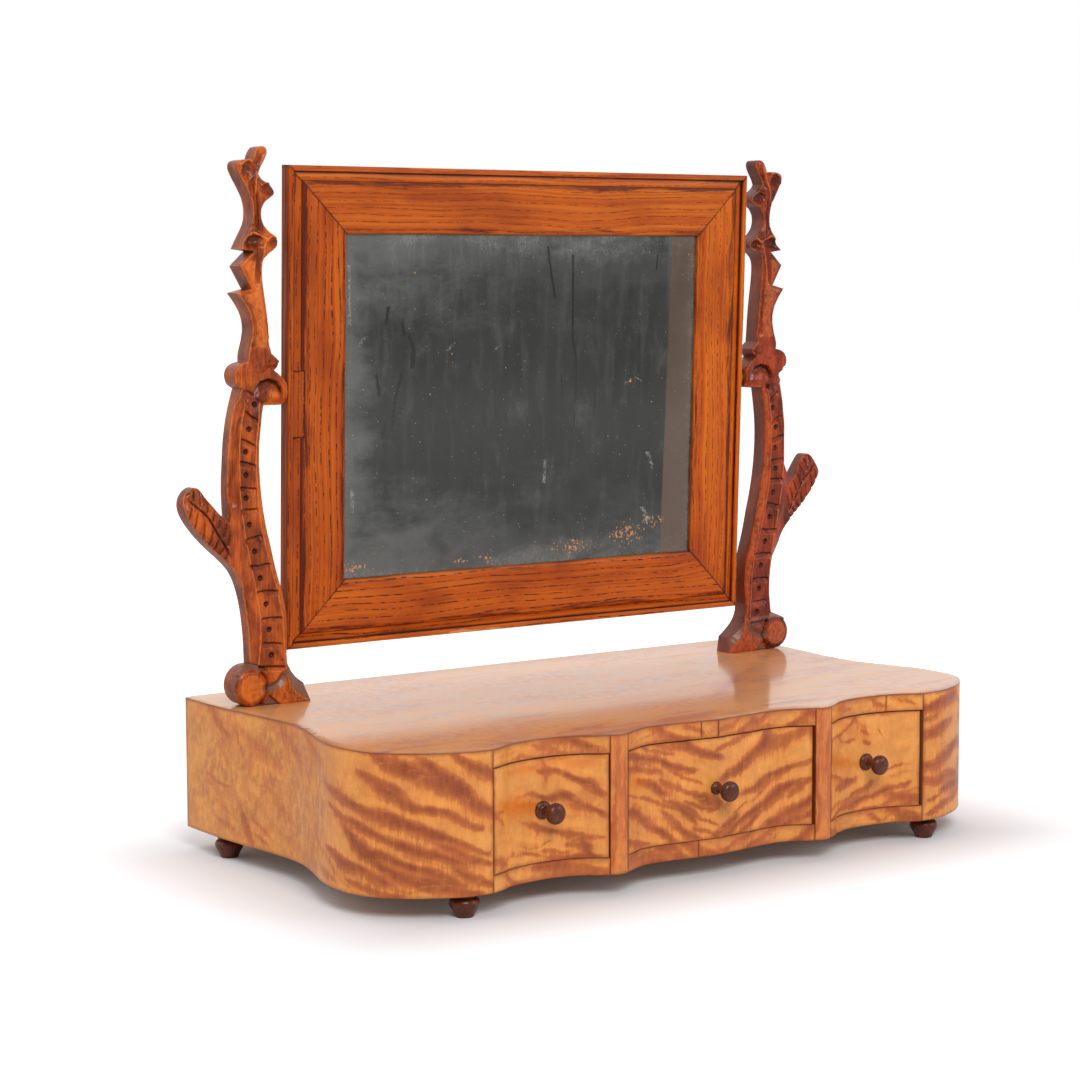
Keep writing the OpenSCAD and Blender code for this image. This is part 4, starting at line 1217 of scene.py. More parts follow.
@dataclass
class CaseOutline:
    """The case's plan, from its left back corner round the front to its right back corner."""

    points: Rows
    lengths: Rows
    probe: float = 0.6
    front_half: float = 240.0

    @classmethod
    def from_node(cls, node: str, step: float = 0.5) -> "CaseOutline":
        """Reads the rim of a flat node and smooths it.

        Args:
            node: the node whose top rim is the outline.
            step: distance between the points kept.

        Returns:
            The outline, with lengths counted from the middle of the front.
        """
        shape = node_shape(node)
        top = max(v.co.z for v in shape.verts)
        flat = {f for f in shape.faces if all(abs(v.co.z - top) < SAME_PLACE for v in f.verts)}
        links: dict[int, list[int]] = {}
        for edge in shape.edges:
            if sum(f in flat for f in edge.link_faces) == 1:
                a, b = (v.index for v in edge.verts)
                links.setdefault(a, []).append(b)
                links.setdefault(b, []).append(a)
        shape.verts.ensure_lookup_table()
        places = {i: np.array(shape.verts[i].co.xy) / MM for i in links}
        shape.free()
        back = max(p[1] for p in places.values())
        rear = [i for i, p in places.items() if back - p[1] < 0.01]
        start, end = min(rear, key=lambda i: places[i][0]), max(rear, key=lambda i: places[i][0])
        walk = [start]
        previous, here = start, next(i for i in links[start] if places[i][1] < back - 0.01)
        while here != end:
            walk.append(here)
            previous, here = here, next(i for i in links[here] if i != previous)
        walk.append(end)
        points = smooth_line(np.array([places[i] for i in walk]), step)
        lengths = running_length(points)
        front = (points[:, 1] < 0) & (np.abs(points[:, 0]) < 80)
        middle = np.interp(0.0, points[front, 0], lengths[front])
        return cls(points, lengths - middle)

    def at(self, length: Rows) -> tuple[Rows, Rows]:
        """Places and outward directions at lengths from the middle of the front.

        Args:
            length: signed lengths.

        Returns:
            The places and the unit directions, one a row.
        """
        places, ahead, behind = (
            np.column_stack([np.interp(length + shift, self.lengths, self.points[:, k]) for k in (0, 1)])
            for shift in (0.0, self.probe, -self.probe)
        )
        way = ahead - behind
        way /= np.linalg.norm(way, axis=1)[:, None]
        return places, np.column_stack([way[:, 1], -way[:, 0]])

    def length_at(self, x: float) -> float:
        """Length from the middle of the front to the place on the front at a distance X."""
        front = (self.points[:, 1] < 0) & (np.abs(self.points[:, 0]) < self.front_half)
        return float(np.interp(x, self.points[front, 0], self.lengths[front]))

    @property
    def span(self) -> tuple[float, float]:
        """Lengths of the two back corners."""
        return float(self.lengths[0]), float(self.lengths[-1])


def softened_steps(low: float, high: float, step: float, radius: float) -> Rows:
    """Places between two ends, closer together where an edge is softened."""
    near = np.array([0.0, 0.1, 0.3, 0.6, 1.0]) * radius
    count = max(2, math.ceil((high - low - 2 * radius) / step))
    middle = np.linspace(low + radius, high - radius, count + 1)[1:-1]
    return np.concatenate([low + near, middle, (high - near)[::-1]])


@dataclass
class VeneerSheet:
    """A curved sheet that follows the case's outline, with softened edges and a drawn figure."""

    outline: CaseOutline
    start: float
    end: float
    bottom: float
    top: float
    thickness: float = 1.2
    edge_radius: float = 0.5
    step: float = 1.2
    flames: Sequence[Flame] = ()
    amber: Sequence[Flame] = ()
    blush: Sequence[Flame] = ()
    by_length: bool = False
    back_plane: float | None = None
    seed: int = 1
    dirt: tuple[float, float, float, float] = (1.0, 1.0, 1.0, 1.0)

    @classmethod
    def over(
        cls, outline: CaseOutline, low: Rows, high: Rows, gap: float, **settings: object
    ) -> "VeneerSheet":
        """A sheet over the front between two corners of a box, kept back by a gap at its ends."""
        ends = outline.length_at(low[0]) + gap, outline.length_at(high[0]) - gap
        return cls(outline, *ends, low[2], high[2], **settings)

    def build(self, name: str, material: Material) -> Piece:
        """Makes the sheet as a closed shell.

        Args:
            name: the piece's name.
            material: its finish.

        Returns:
            The object.
        """
        along = softened_steps(self.start, self.end, self.step, self.edge_radius)
        up = softened_steps(self.bottom, self.top, self.step, self.edge_radius)
        places, ways = self.outline.at(along)
        columns, rows = len(along), len(up)
        side_gap = np.minimum(along - self.start, self.end - along)
        end_gap = np.minimum(up - self.bottom, self.top - up)
        fall = rounding(side_gap, self.edge_radius)[:, None] + rounding(end_gap, self.edge_radius)[None, :]
        fall = np.minimum(fall, self.edge_radius)
        flat = places[:, None, :] - ways[:, None, :] * fall[:, :, None]
        outer = np.dstack([flat, np.broadcast_to(up, (columns, rows))]).reshape(-1, 3)
        if self.back_plane is None:
            inner_xy = places - ways * self.thickness
        else:
            inner_xy = np.column_stack([places[:, 0], np.full(columns, self.back_plane)])
        inner = np.vstack(
            [np.column_stack([inner_xy, np.full(columns, z)]) for z in (self.bottom, self.top)]
        )
        points = np.vstack([outer, inner])
        base = columns * rows
        faces: Faces = []
        for i in range(columns - 1):
            first, second = i * rows, (i + 1) * rows
            faces += [(first + k, second + k, second + k + 1, first + k + 1) for k in range(rows - 1)]
            faces.append((base + i, base + i + 1, second, first))
            faces.append((first + rows - 1, second + rows - 1, base + columns + i + 1, base + columns + i))
            faces.append((base + i + 1, base + i, base + columns + i, base + columns + i + 1))
        faces.append((base, *range(0, rows), base + columns))
        last = (columns - 1) * rows
        faces.append((base + 2 * columns - 1, *range(last + rows - 1, last - 1, -1), base + columns - 1))
        across = along if self.by_length else places[:, 0]
        sheet = np.column_stack([np.repeat(across, rows), np.tile(up, columns)])
        behind = np.column_stack([np.tile(across, 2), np.repeat([self.bottom, self.top], columns)])
        grain = np.vstack([sheet, behind])
        gaps = [
            np.repeat(along - self.start, rows) / max(self.dirt[0], 0.01),
            np.repeat(self.end - along, rows) / max(self.dirt[1], 0.01),
            np.tile(up - self.bottom, columns) / max(self.dirt[2], 0.01),
            np.tile(self.top - up, columns) / max(self.dirt[3], 0.01),
        ]
        edge = np.concatenate([np.minimum.reduce(gaps), np.zeros(2 * columns)])
        marks = {
            "figure": draw_flames(grain, self.flames, self.seed),
            "amber": draw_flames(grain, self.amber, self.seed + 40),
            "blush": draw_flames(grain, self.blush, self.seed + 50),
            "edge": edge,
        }
        return add_mesh(name, points, faces, material, grain, marks)


@dataclass
class CaseShell:
    """The veneered outside of the case: ends, rails, pilasters and top."""

    outline: CaseOutline
    birch: FlameBirch
    plain: FlameBirch
    joints_upper: tuple[float, ...] = (-15.0, -1.0, 164.5)
    joints_lower: tuple[float, ...] = (-17.0,)
    joint_gap: float = 0.25
    running_gap: float = 0.1
    strip_gap: float = 0.15
    top_edge: float = 0.7
    top_spacing: float = 3.0

    def build(self) -> None:
        """Builds and places every outer sheet of the case."""
        material = self.birch.material()
        self._ends(material)
        self._rails("upper_rail_veneer", self.joints_upper, UPPER_FLAMES, material, 0.0)
        self._rails("lower_rail_veneer", self.joints_lower, LOWER_FLAMES, material, self.running_gap)
        self._pilasters()
        self._top()

    def _ends(self, material: Material) -> None:
        """Builds the curved ends."""
        first, last = self.outline.span
        for side in Side:
            node = f"side_veneer_{side.word}"
            low, high = box(node)
            left = side is Side.LEFT
            seam = self.outline.length_at(high[0] if left else low[0])
            flames = list(LEFT_END_FLAMES if left else RIGHT_END_FLAMES)
            blush = scattered_flames((-330, 330, 16, 112), 0.8, 30, 13, 0.4, 22, 14)
            if left:
                flames += scattered_flames((-320, -206, 18, 110), -0.45, 34, 5, 0.22, 26, 4)
                flames += scattered_flames((-400, -332, 18, 110), -0.3, 8, 12, 0.16, 26, 9)
                blush += scattered_flames((-550, -330, 16, 112), 1.2, 60, 7, 0.8, 22, 14)
            else:
                flames += scattered_flames((255, 400, 18, 110), 0.22, 34, 8, 0.6, 34, 7)
                flames += scattered_flames((400, 545, 18, 110), -0.1, 30, 9, 0.45, 24, 6)
            sheet = VeneerSheet(
                self.outline, first if left else seam, seam if left else last, low[2], high[2],
                flames=flames, blush=blush, by_length=True, seed=11 if left else 23,
                dirt=(1.2, 1.0, 0.8, 0.7),
            )
            place(sheet.build(f"end_sheet_{side.word}", material), "case", self.birch.slot, node)

    def _rails(
        self, node: str, joints: tuple[float, ...], flames: Sequence[Flame], material: Material,
        lowered: float,
    ) -> None:
        """Builds one row of rail veneers, parted at the pilasters and at its joints.

        Args:
            node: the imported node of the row.
            joints: X of the joints inside the row.
            flames: the row's figure.
            material: its finish.
            lowered: how far the upper edge stays below the board, where the drawers slide over it.
        """
        low, high = box(node)
        inner, outer = (corner[0] for corner in box("pilaster_right"))
        limits = [(low[0], -outer), (-inner, inner), (outer, high[0])]
        area = (-190, 190, low[2], high[2])
        faint = scattered_flames(area, 0.1, 44, 37, 0.3, 14, 4)
        blush = scattered_flames(area, 0.2, 24, 38, 0.7, 22, 9)
        number = 0
        for start, end in limits:
            cuts = [start, *[j for j in joints if start < j < end], end]
            for a, b in zip(cuts[:-1], cuts[1:]):
                number += 1
                sheet = VeneerSheet(
                    self.outline, self.outline.length_at(a) + self.joint_gap / 2,
                    self.outline.length_at(b) - self.joint_gap / 2, low[2], high[2] - lowered,
                    edge_radius=0.35, flames=[*flames, *faint], blush=blush,
                    seed=30 + number, dirt=(0.5, 0.5, 0.9, 1.2),
                )
                piece = sheet.build(f"{node.replace('_veneer', '')}_sheet_{number}", material)
                place(piece, "case", self.birch.slot, node)

    def _pilasters(self) -> None:
        """Builds the two plain upright strips."""
        material = self.plain.material()
        for side in Side:
            node = f"pilaster_{side.word}"
            low, high = box(node)
            sheet = VeneerSheet.over(
                self.outline, low, high, self.strip_gap, edge_radius=0.6, step=1.0, back_plane=high[1],
                flames=scattered_flames((low[0], high[0], 16, 112), 40.0, 16, 90, 0.5, 1.2, 2.2),
                blush=scattered_flames((low[0], high[0], 16, 112), 12.0, 9, 91, 0.8, 3.0, 7.0), seed=92,
                dirt=(0.35, 0.35, 0.8, 0.8),
            )
            place(sheet.build(f"pilaster_strip_{side.word}", material), "case", self.plain.slot, node)

    def _top(self) -> None:
        """Builds the veneered top with its softened rim."""
        low, high = box("top_veneer")
        rim = smooth_line(self.outline.points[::4], 2.0)
        back = smooth_line(rim[[-1, 0]], self.top_spacing)[1:-1]
        loop = np.vstack([rim, back])
        places, triangles = fill_outline(loop, self.top_spacing)
        gap = inner_gap(places, loop)
        count = len(places)
        top = np.column_stack([places, high[2] - rounding(gap, self.top_edge)])
        bottom = np.column_stack([loop, np.full(len(loop), low[2])])
        points = np.vstack([top, bottom])
        size = len(loop)
        faces = [*triangles, *[(i, count + i, count + (i + 1) % size, (i + 1) % size) for i in range(size)]]
        faces.append(tuple(count + i for i in reversed(range(size))))
        grain = points[:, :2]
        flames = scattered_flames((-265, 265, -150, 155), 0.1, 90, 51, 0.3, 40, 8)
        flames += scattered_flames((-265, 265, -150, -100), 0.05, 40, 53, 0.5, 34, 5)
        blush = scattered_flames((-265, 265, -150, 155), 0.1, 90, 52, 0.85, 44, 18)
        flames += TOP_FLAMES
        marks = {
            "figure": draw_flames(grain, flames, 60),
            "amber": np.zeros(len(points)),
            "blush": draw_flames(grain, blush, 64),
            "edge": np.concatenate([gap + 0.3, np.zeros(size)]),
        }
        # The top carries a painted pale sheen over its polish.
        finish = FlameBirch(name="flame_birch_top", shift=31.0, upright=False, polish=0.7, painted_sheen=0.3)
        piece = add_mesh("top_sheet", points, faces, finish.material(), grain, marks)
        place(piece, "case", finish.slot, "top_veneer")


# ---- turned work ----


def turned(
    name: str, profile: Rows, axis: Along, origin: Rows, direction: float, material: Material,
    segments: int = 72,
) -> Piece:
    """Turns a profile round an axis.

    Args:
        name: the piece's name.
        profile: rows of radius and distance along the axis, starting and ending on the axis.
        axis: the axis of turning.
        origin: place of the profile's zero.
        direction: 1 or -1, which way the distances run.
        material: the finish.
        segments: number of steps round.

    Returns:
        The object.
    """
    rings = profile[1:-1]
    angles = np.arange(segments) * 2 * math.pi / segments
    cos, sin = np.cos(angles), np.sin(angles)
    points = []
    for radius, height in rings:
        across = np.column_stack([radius * cos, radius * sin])
        along = np.full(segments, direction * height)
        if axis is Along.Z:
            points.append(np.column_stack([across[:, 0], across[:, 1], along]))
        else:
            points.append(np.column_stack([across[:, 0], along, across[:, 1]]))
    tips = [np.zeros(3), np.zeros(3)]
    for tip, (_, height) in zip(tips, (profile[0], profile[-1])):
        tip[axis.value] = direction * height
    points.append(np.array(tips))
    stacked = np.vstack(points) + origin
    count = len(rings)
    first, last = count * segments, count * segments + 1
    faces: Faces = []
    for k in range(segments):
        following = (k + 1) % segments
        faces.append((first, following, k))
        for i in range(count - 1):
            a, b = i * segments, (i + 1) * segments
            faces.append((a + k, a + following, b + following, b + k))
        top = (count - 1) * segments
        faces.append((top + k, top + following, last))
    return turn_outward(add_mesh(name, stacked, faces, material, sharp_angle=50))


@dataclass
class TurnedFoot:
    """One of the four feet: neck, flattened ball and a small base."""

    node: str
    finish: Ebonised
    radius: float = 10.5
    height: float = 16.0
    base_radius: float = 6.4

    def build(self) -> None:
        """Builds the foot in the place of its node."""
        low, high = box(self.node)
        middle = (low + high) / 2
        r, h = self.radius, self.height
        curve = smooth_line(
            [
                [self.base_radius - 0.6, 0.0], [self.base_radius, 0.3], [self.base_radius + 0.7, 0.13 * h],
                [r - 2.2, 0.28 * h], [r - 0.6, 0.45 * h], [r, 0.6 * h], [r - 0.6, 0.73 * h],
                [r - 2.2, 0.82 * h], [r - 3.0, 0.84 * h],
            ],
            0.35,
        )
        bead_points = [[r - 3.0, 0.85 * h], [r - 2.2, 0.88 * h], [r - 2.0, 0.93 * h], [r - 2.4, h]]
        bead = smooth_line(bead_points, 0.3)
        tenon = np.array([[4.0, h], [4.0, h + 9.3], [0.0, h + 9.4]])
        profile = np.vstack([[0.0, 0.0], curve, bead, tenon])
        origin = np.array([middle[0], middle[1], low[2]])
        piece = turned(self.node + "_turning", profile, Along.Z, origin, 1.0, self.finish.material())
        place(piece, "case", self.finish.slot, self.node)


@dataclass
class TurnedKnob:
    """A drawer knob: flat rosette or small bead, waisted neck and a flattened ball."""

    node: str
    body: str
    finish: Ebonised
    foot_radius: float
    length: float = 20.0
    head: float = 8.5
    radius: float = 7.3
    neck: float = 2.9

    def build(self) -> None:
        """Builds the knob in the place of its node."""
        low, high = box(self.node)
        middle = (low + high) / 2
        seat = low[1] + self.length
        r, f, n = self.radius, self.foot_radius, self.neck
        base = self.length - self.head
        foot = smooth_line(
            [
                [f - 0.9, 0.0], [f - 0.15, 0.35], [f, 0.9], [f - 0.1, 1.7], [f - 0.7, 2.4], [f - 1.6, 2.9],
                [n + 1.0, 3.2], [n + 0.2, 3.9], [n, 5.5], [n, base - 3.0], [n + 0.5, base - 1.2],
                [n + 1.1, base - 0.3],
            ],
            0.3,
        )
        ball = smooth_line(
            [
                [0.62 * r, base + 0.3], [0.84 * r, base + 0.13 * self.head],
                [0.97 * r, base + 0.33 * self.head], [r, base + 0.5 * self.head],
                [0.97 * r, base + 0.66 * self.head], [0.84 * r, base + 0.82 * self.head],
                [0.6 * r, base + 0.93 * self.head], [0.3 * r, base + 0.985 * self.head],
                [0.08 * r, self.length - 0.02],
            ],
            0.3,
        )
        profile = np.vstack([[0.0, -11.5], [2.9, -11.4], [2.9, 0.0], foot, ball, [0.0, self.length]])
        origin = np.array([middle[0], seat, middle[2]])
        piece = turned(self.node + "_turning", profile, Along.Y, origin, -1.0, self.finish.material())
        place(piece, self.body, self.finish.slot, self.node)


# ---- carved posts ----


@dataclass(frozen=True)
class Cut:
    """A V-shaped cut along a line of places, [out, up]: its width, depth and how much painted shade it
    gets.
    """

    line: Line
    width: float
    depth: float
    dark: float = 1.0
    bare: float = 0.0

    def relief(self, where: Rows) -> tuple[Rows, Rows]:
        """Depth and painted shade of the cut at each place."""
        distance, share = line_distance(where, smooth_line(self.line, 1.5))
        taper = portion(np.minimum(share, 1 - share) * 8 + 0.45)
        inside = taper * portion(1 - distance / (self.width / 2))
        return self.depth * inside, self.dark * inside


@dataclass(frozen=True)
class Notch:
    """A stop cut across the shaft, steep above its line and sloping out below it."""

    line: Line
    depth: float = 2.0
    slope: float = 4.2
    wall: float = 0.8

    def relief(self, where: Rows) -> tuple[Rows, Rows]:
        """Depth and painted shade of the notch at each place."""
        line = np.array(self.line[::-1])
        below = np.interp(where[:, 0], line[:, 0], line[:, 1]) - where[:, 1]
        ends = portion(np.minimum(where[:, 0] - line[0, 0], line[-1, 0] - where[:, 0]) / 1.2 + 0.2)
        rise = 1 + below / self.wall
        depth = self.depth * ends * portion(np.where(below > 0, 1 - below / self.slope, rise))
        # Painted shade under the line, on the steep wall, fading down the slope that faces the light.
        dark = ends * portion(np.where(below > 0, 1 - below / 1.7, rise))
        return depth, dark


@dataclass(frozen=True)
class Hollow:
    """A scooped hollow: its middle, half length, half width, depth, turn in degrees and painted shade."""

    out: float
    up: float
    half_length: float
    half_width: float
    depth: float
    turn: float = 0.0
    dark: float = 0.8
    tilt: float = 0.5

    def relief(self, where: Rows) -> tuple[Rows, Rows]:
        """Depth and painted shade of the hollow, which is deepest towards its upper side."""
        length, width = turn_pair(where[:, 0] - self.out, where[:, 1] - self.up, -self.turn)
        length, width = length / self.half_length, width / self.half_width
        inside = portion(1 - np.sqrt(length**2 + width**2))
        # Painted shade, like the depth, is greatest towards the upper side.
        upper = np.clip(1 + self.tilt * width, 0, 2) / (1 + self.tilt)
        return self.depth * inside**0.5 * upper, self.dark * portion(inside * 2.4) * upper


@dataclass(frozen=True)
class Ridge:
    """A raised line left by the carver, with its half width and its height over what lies round it."""

    line: Line
    half_width: float
    height: float

    def rise(self, where: Rows) -> Rows:
        """Share of the ridge at each place, from 0 to 1 on its crest."""
        distance, _ = line_distance(where, smooth_line(self.line, 1.0))
        return np.exp(-((distance / self.half_width) ** 2))


@dataclass
class CarvedPost:
    """A post sawn from a board and carved on its front."""

    side: Side
    finish: CarvedBirch
    slice_depth: float = 4.2
    corner_angle: float = 32.0
    spacing: float = 0.66
    edge_radius: float = 0.9
    disc_middle: tuple[float, float] = (244.8, 127.2)
    disc_radius: float = 12.8
    scroll_middle: tuple[float, float] = (243.5, 128.5)
    scroll_radius: float = 15.6
    facet_depth: float = 7.5
    shaft_shift: float = 1.0
    ladder_drop: tuple[float, float] = (1.6, 0.9)
    dot_shift: float = 0.0
    outer_ridge: Line = (
        (240.5, 140), (238, 160), (238, 178), (241, 197), (245, 215), (249, 235), (252, 255), (253, 270),
        (253, 300), (251, 318), (248, 332),
    )
    inner_ridge: Line = (
        (218, 140), (219, 160), (220, 178), (224, 197), (230, 217), (235, 237), (238, 255), (239, 270),
        (240, 288), (239.5, 303), (237, 322), (235, 332),
    )
    dots: Line = (
        (239.5, 332), (244.5, 314.5), (247.5, 298.5), (247.3, 282), (247.8, 265.5), (245.3, 246.5),
        (241.5, 227), (237, 207.5), (232.8, 188.5), (230.5, 170), (229, 151.5),
    )
    notches: tuple[Line, ...] = (
        ((247.5, 328), (243, 324), (237.5, 321)), ((251, 308), (245, 305.5), (239.5, 302.5)),
        ((253, 292), (246, 290.5), (239.8, 288.5)), ((253, 273.5), (246, 272.5), (239, 272)),
        ((252.5, 257), (245, 257.3), (238.3, 257.5)), ((249.5, 235.5), (243, 237), (235.3, 238.5)),
        ((246, 217), (238, 216.5), (229.5, 218)), ((241, 197.5), (232, 198.3), (222.8, 197.5)),
        ((237.5, 178), (229, 178.6), (219.8, 178)), ((236, 160.5), (228, 160), (219.8, 159)),
        ((238.6, 143.5), (228, 143.2), (218, 142.2)),
    )
    leaf_vein: Line = (
        (290, 265), (284, 259), (277, 253), (271.7, 245), (267, 237), (262.8, 230.6), (258.9, 222.8),
    )
    leaf_cuts: tuple[Line, ...] = (
        ((288.5, 260), (290.6, 250.6)), ((283.9, 256), (286.7, 242.5)), ((278.3, 249), (280, 235)),
        ((272, 243), (275.5, 231.5)), ((267.6, 236), (271.8, 227.8)), ((264.4, 229.6), (267.6, 224.4)),
        ((261, 224.4), (263.7, 220.6)), ((285, 271.5), (286, 264)), ((280, 269.6), (281.8, 260)),
        ((274.6, 264), (276.7, 255)), ((270.2, 257), (272.6, 248.6)), ((265.6, 252), (268.2, 243.5)),
        ((261.8, 246), (264.4, 237)), ((258.6, 240), (261, 230)),
    )
    boss_up: float = 346.0
    boss_half: float = 26.0
    shaft_top: Line = ((232, 332.5), (238.3, 337), (243, 341), (251.7, 342.8), (261, 343))
    boss_arch: Line = ((216.5, 341.5), (220.5, 347.3), (227.9, 349.6), (235.2, 347.3), (239.3, 341.5),)
    tongue_end: Line = ((226.2, 361), (229, 355), (233.6, 352.4), (238, 353), (243, 356), (246.7, 360.5),)
    foot_arris: Line = (
        (195.5, 113.0), (201.1, 116.0), (205.2, 118.6), (208.3, 121.2), (210.9, 124.0), (213.2, 128.4),
        (215.2, 134.4), (216.6, 140.0), (217.4, 146.0),
    )
    foot_facet_out: float = 0.0
    toe_reach: float = 3.2
    toe_drop: float = 0.2
    ridges: tuple[Ridge, ...] = (
        Ridge(((245.3, 442.4), (242.2, 448.4), (239, 452.6), (232.7, 450.4), (226.6, 447.6)), 1.3, 1.5),
        Ridge(((226.6, 447.6), (222.3, 450.6), (218.3, 448.4), (215.4, 444.2)), 1.3, 1.5),
        Ridge(((247, 495), (245.8, 500.5), (242, 503.6), (238.4, 502.6)), 1.1, 1.1),
        Ridge(((236.4, 480), (235.2, 490), (232.6, 498), (229.2, 507)), 1.3, 1.4),
        Ridge(((230, 485.6), (225.6, 488.2), (220, 485)), 1.0, 1.3),
        Ridge(((228.2, 446.5), (230.7, 435.7), (232.4, 426.7), (232.9, 415)), 1.1, 1.2),
    )
    cuts: tuple[Cut, ...] = (
        Cut(((295.8, 256), (294.8, 265), (291, 268.5), (287, 269.6)), 1.4, 0.8),
        Cut(((228.5, 357.4), (223, 358), (218.5, 360)), 3.0, 1.4, 0.5),
        Cut(((233.2, 443), (235.2, 430), (235.8, 415)), 5.0, 1.7, 0.3),
        Cut(((240.6, 491), (238.6, 474), (236.6, 455)), 1.9, 1.2, 0.5),
        Cut(((237.6, 488), (236.2, 472), (235, 454)), 1.9, 1.4, 0.6),
        Cut(((234.6, 482), (233.6, 468), (233.6, 453)), 2.2, 1.6, 0.7),
        Cut(((234.0, 126.0), (227.0, 127.0), (221.6, 130.2), (218.4, 135.4)), 7.6, 2.6, 0.2, 1.0),
    )
    hollows: tuple[Hollow, ...] = (
        Hollow(253.6, 343.2, 3.8, 4.0, 4.4, 0, 1.0, 0.0), Hollow(248.0, 336.5, 5.0, 3.6, 2.4, 40, 0.5),
        Hollow(238.4, 445.2, 9.0, 5.4, 5.4, -10, 1.0, 0.8), Hollow(220.6, 444.4, 5.4, 4.4, 4.0, 10, 0.85),
        Hollow(224.4, 482.0, 7.4, 5.0, 4.6, 16, 0.9), Hollow(242.2, 495.6, 5.0, 6.2, 4.2, 0, 0.9),
        Hollow(219.2, 145, 1.1, 1.1, 1.8), Hollow(224.5, 374, 5.0, 4.0, 1.8, 0, 0.3),
    )
    vee_apex: tuple[float, float] = (230.7, 121.4)
    vee_slopes: tuple[float, float] = (0.885, 1.23)

    def build(self) -> None:
        """Builds the post in the place of its node."""
        node = f"post_{self.side.word}"
        low, high = box(node)
        front, back = low[1], high[1]
        loop = self._long_toe(self._outline(node, front + self.slice_depth))
        where, triangles = fill_outline(loop, self.spacing)
        depth, marks = self._carving(where, loop)
        back_where, back_triangles = fill_outline(loop, 4.0)
        back_gap = inner_gap(back_where, loop)
        points, faces, values = self._assemble(
            (where, triangles, depth, marks), (back_where, back_triangles, back_gap), loop, front, back
        )
        points[:, 0] *= self.side.value
        if self.side is Side.LEFT:
            faces = [tuple(reversed(f)) for f in faces]
        material = self.finish.material()
        piece = add_mesh(f"{node}_carving", points, faces, material, marks=values, sharp_angle=48)
        place(piece, "case", self.finish.slot, node)

    def _outline(self, node: str, level: float) -> Rows:
        """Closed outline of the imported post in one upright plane, with smooth runs between its corners.

        Args:
            node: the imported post.
            level: Y of the plane.

        Returns:
            The outline's points, [out, up], anticlockwise.
        """
        shape = node_shape(node)
        cut = bmesh.ops.bisect_plane(
            shape, geom=[*shape.verts, *shape.edges, *shape.faces], plane_co=(0, level * MM, 0),
            plane_no=(0, 1, 0), clear_inner=True, clear_outer=True,
        )
        links: dict[int, list[int]] = {}
        places = {}
        for piece in cut["geom_cut"]:
            if isinstance(piece, bmesh.types.BMEdge):
                a, b = piece.verts
                links.setdefault(a.index, []).append(b.index)
                links.setdefault(b.index, []).append(a.index)
                for v in (a, b):
                    places[v.index] = np.array([abs(v.co.x), v.co.z]) / MM
        shape.free()
        loops = []
        left = set(links)
        while left:
            start = min(left)
            walk = [start]
            left.discard(start)
            here = start
            while True:
                ahead = [i for i in links[here] if i in left]
                if not ahead:
                    break
                here = ahead[0]
                left.discard(here)
                walk.append(here)
            loops.append(np.array([places[i] for i in walk]))
        loop = max(loops, key=len)
        area = np.sum(loop[:, 0] * np.roll(loop[:, 1], -1) - np.roll(loop[:, 0], -1) * loop[:, 1])
        if area < 0:
            loop = loop[::-1]
        return self._smoothed(loop)

    def _long_toe(self, loop: Rows) -> Rows:
        """Lets the foot's toe run out a little further and lower, as it is carved."""
        out, up = loop[:, 0], loop[:, 1]
        low = float(up.min())
        toe = portion((222 - out) / 30) * portion((150 - up) / 12)
        return np.column_stack([out - self.toe_reach * toe, low + (up - low) * (1 - self.toe_drop * toe)])

    def _smoothed(self, loop: Rows) -> Rows:
        """Smooths the runs between an outline's corners and spaces the points evenly."""
        keep = np.linalg.norm(loop - np.roll(loop, 1, axis=0), axis=1) > 0.05
        loop = loop[keep]
        before = loop - np.roll(loop, 1, axis=0)
        after = np.roll(loop, -1, axis=0) - loop
        turn = np.arctan2(
            before[:, 0] * after[:, 1] - before[:, 1] * after[:, 0], np.sum(before * after, axis=1)
        )
        corners = np.flatnonzero(np.abs(turn) > math.radians(self.corner_angle))
        runs = []
        for a, b in zip(corners, np.roll(corners, -1)):
            members = range(a, b + 1) if b > a else [*range(a, len(loop)), *range(0, b + 1)]
            runs.append(smooth_line(loop[list(members)], self.spacing)[:-1])
        return np.vstack(runs)

    def _carving(self, where: Rows, loop: Rows) -> tuple[Rows, dict[str, Rows]]:
        """Depth of the carved front below the board's face, and what the finish reads.

        Args:
            where: places on the front, [out, up].
            loop: the post's outline.

        Returns:
            The depths, and the shares of painted shade in the cuts, of rubbed arrises with painted
            highlight, and of bare wood at each place.
        """
        out, up = where[:, 0], where[:, 1]
        gap = inner_gap(where, loop)
        outer, inner = np.array(self.outer_ridge), np.array(self.inner_ridge)
        outer_at = np.interp(up, outer[:, 1], outer[:, 0]) - self.shaft_shift
        inner_at = np.interp(up, inner[:, 1], inner[:, 0]) - self.shaft_shift
        shaft = portion((up - 139) / 3) * portion((336 - up) / 5)
        past_outer, past_inner = out - outer_at, inner_at - out
        by_leaf = portion((up - 190) / 12) * portion((266 - up) / 8)
        outside = np.clip(past_outer, 0, 99)
        facet = self.facet_depth * outside / np.maximum(outside + gap, 0.01)
        facet = facet * (1 - by_leaf) + np.clip(past_outer * 0.4, 0, 3.2) * by_leaf
        chamfer = facet + np.clip(past_inner * 0.6, 0, 3.2)
        into_band = np.minimum(-past_outer, -past_inner)
        in_band = portion(into_band / 1.2)
        ridge = np.exp(-((np.minimum(np.abs(past_outer), np.abs(past_inner)) / 0.75) ** 2)) * shaft
        base = (chamfer + 1.2 * in_band) * shaft
        # Painted shade in the sunk band.
        shade = 0.34 * in_band * shaft
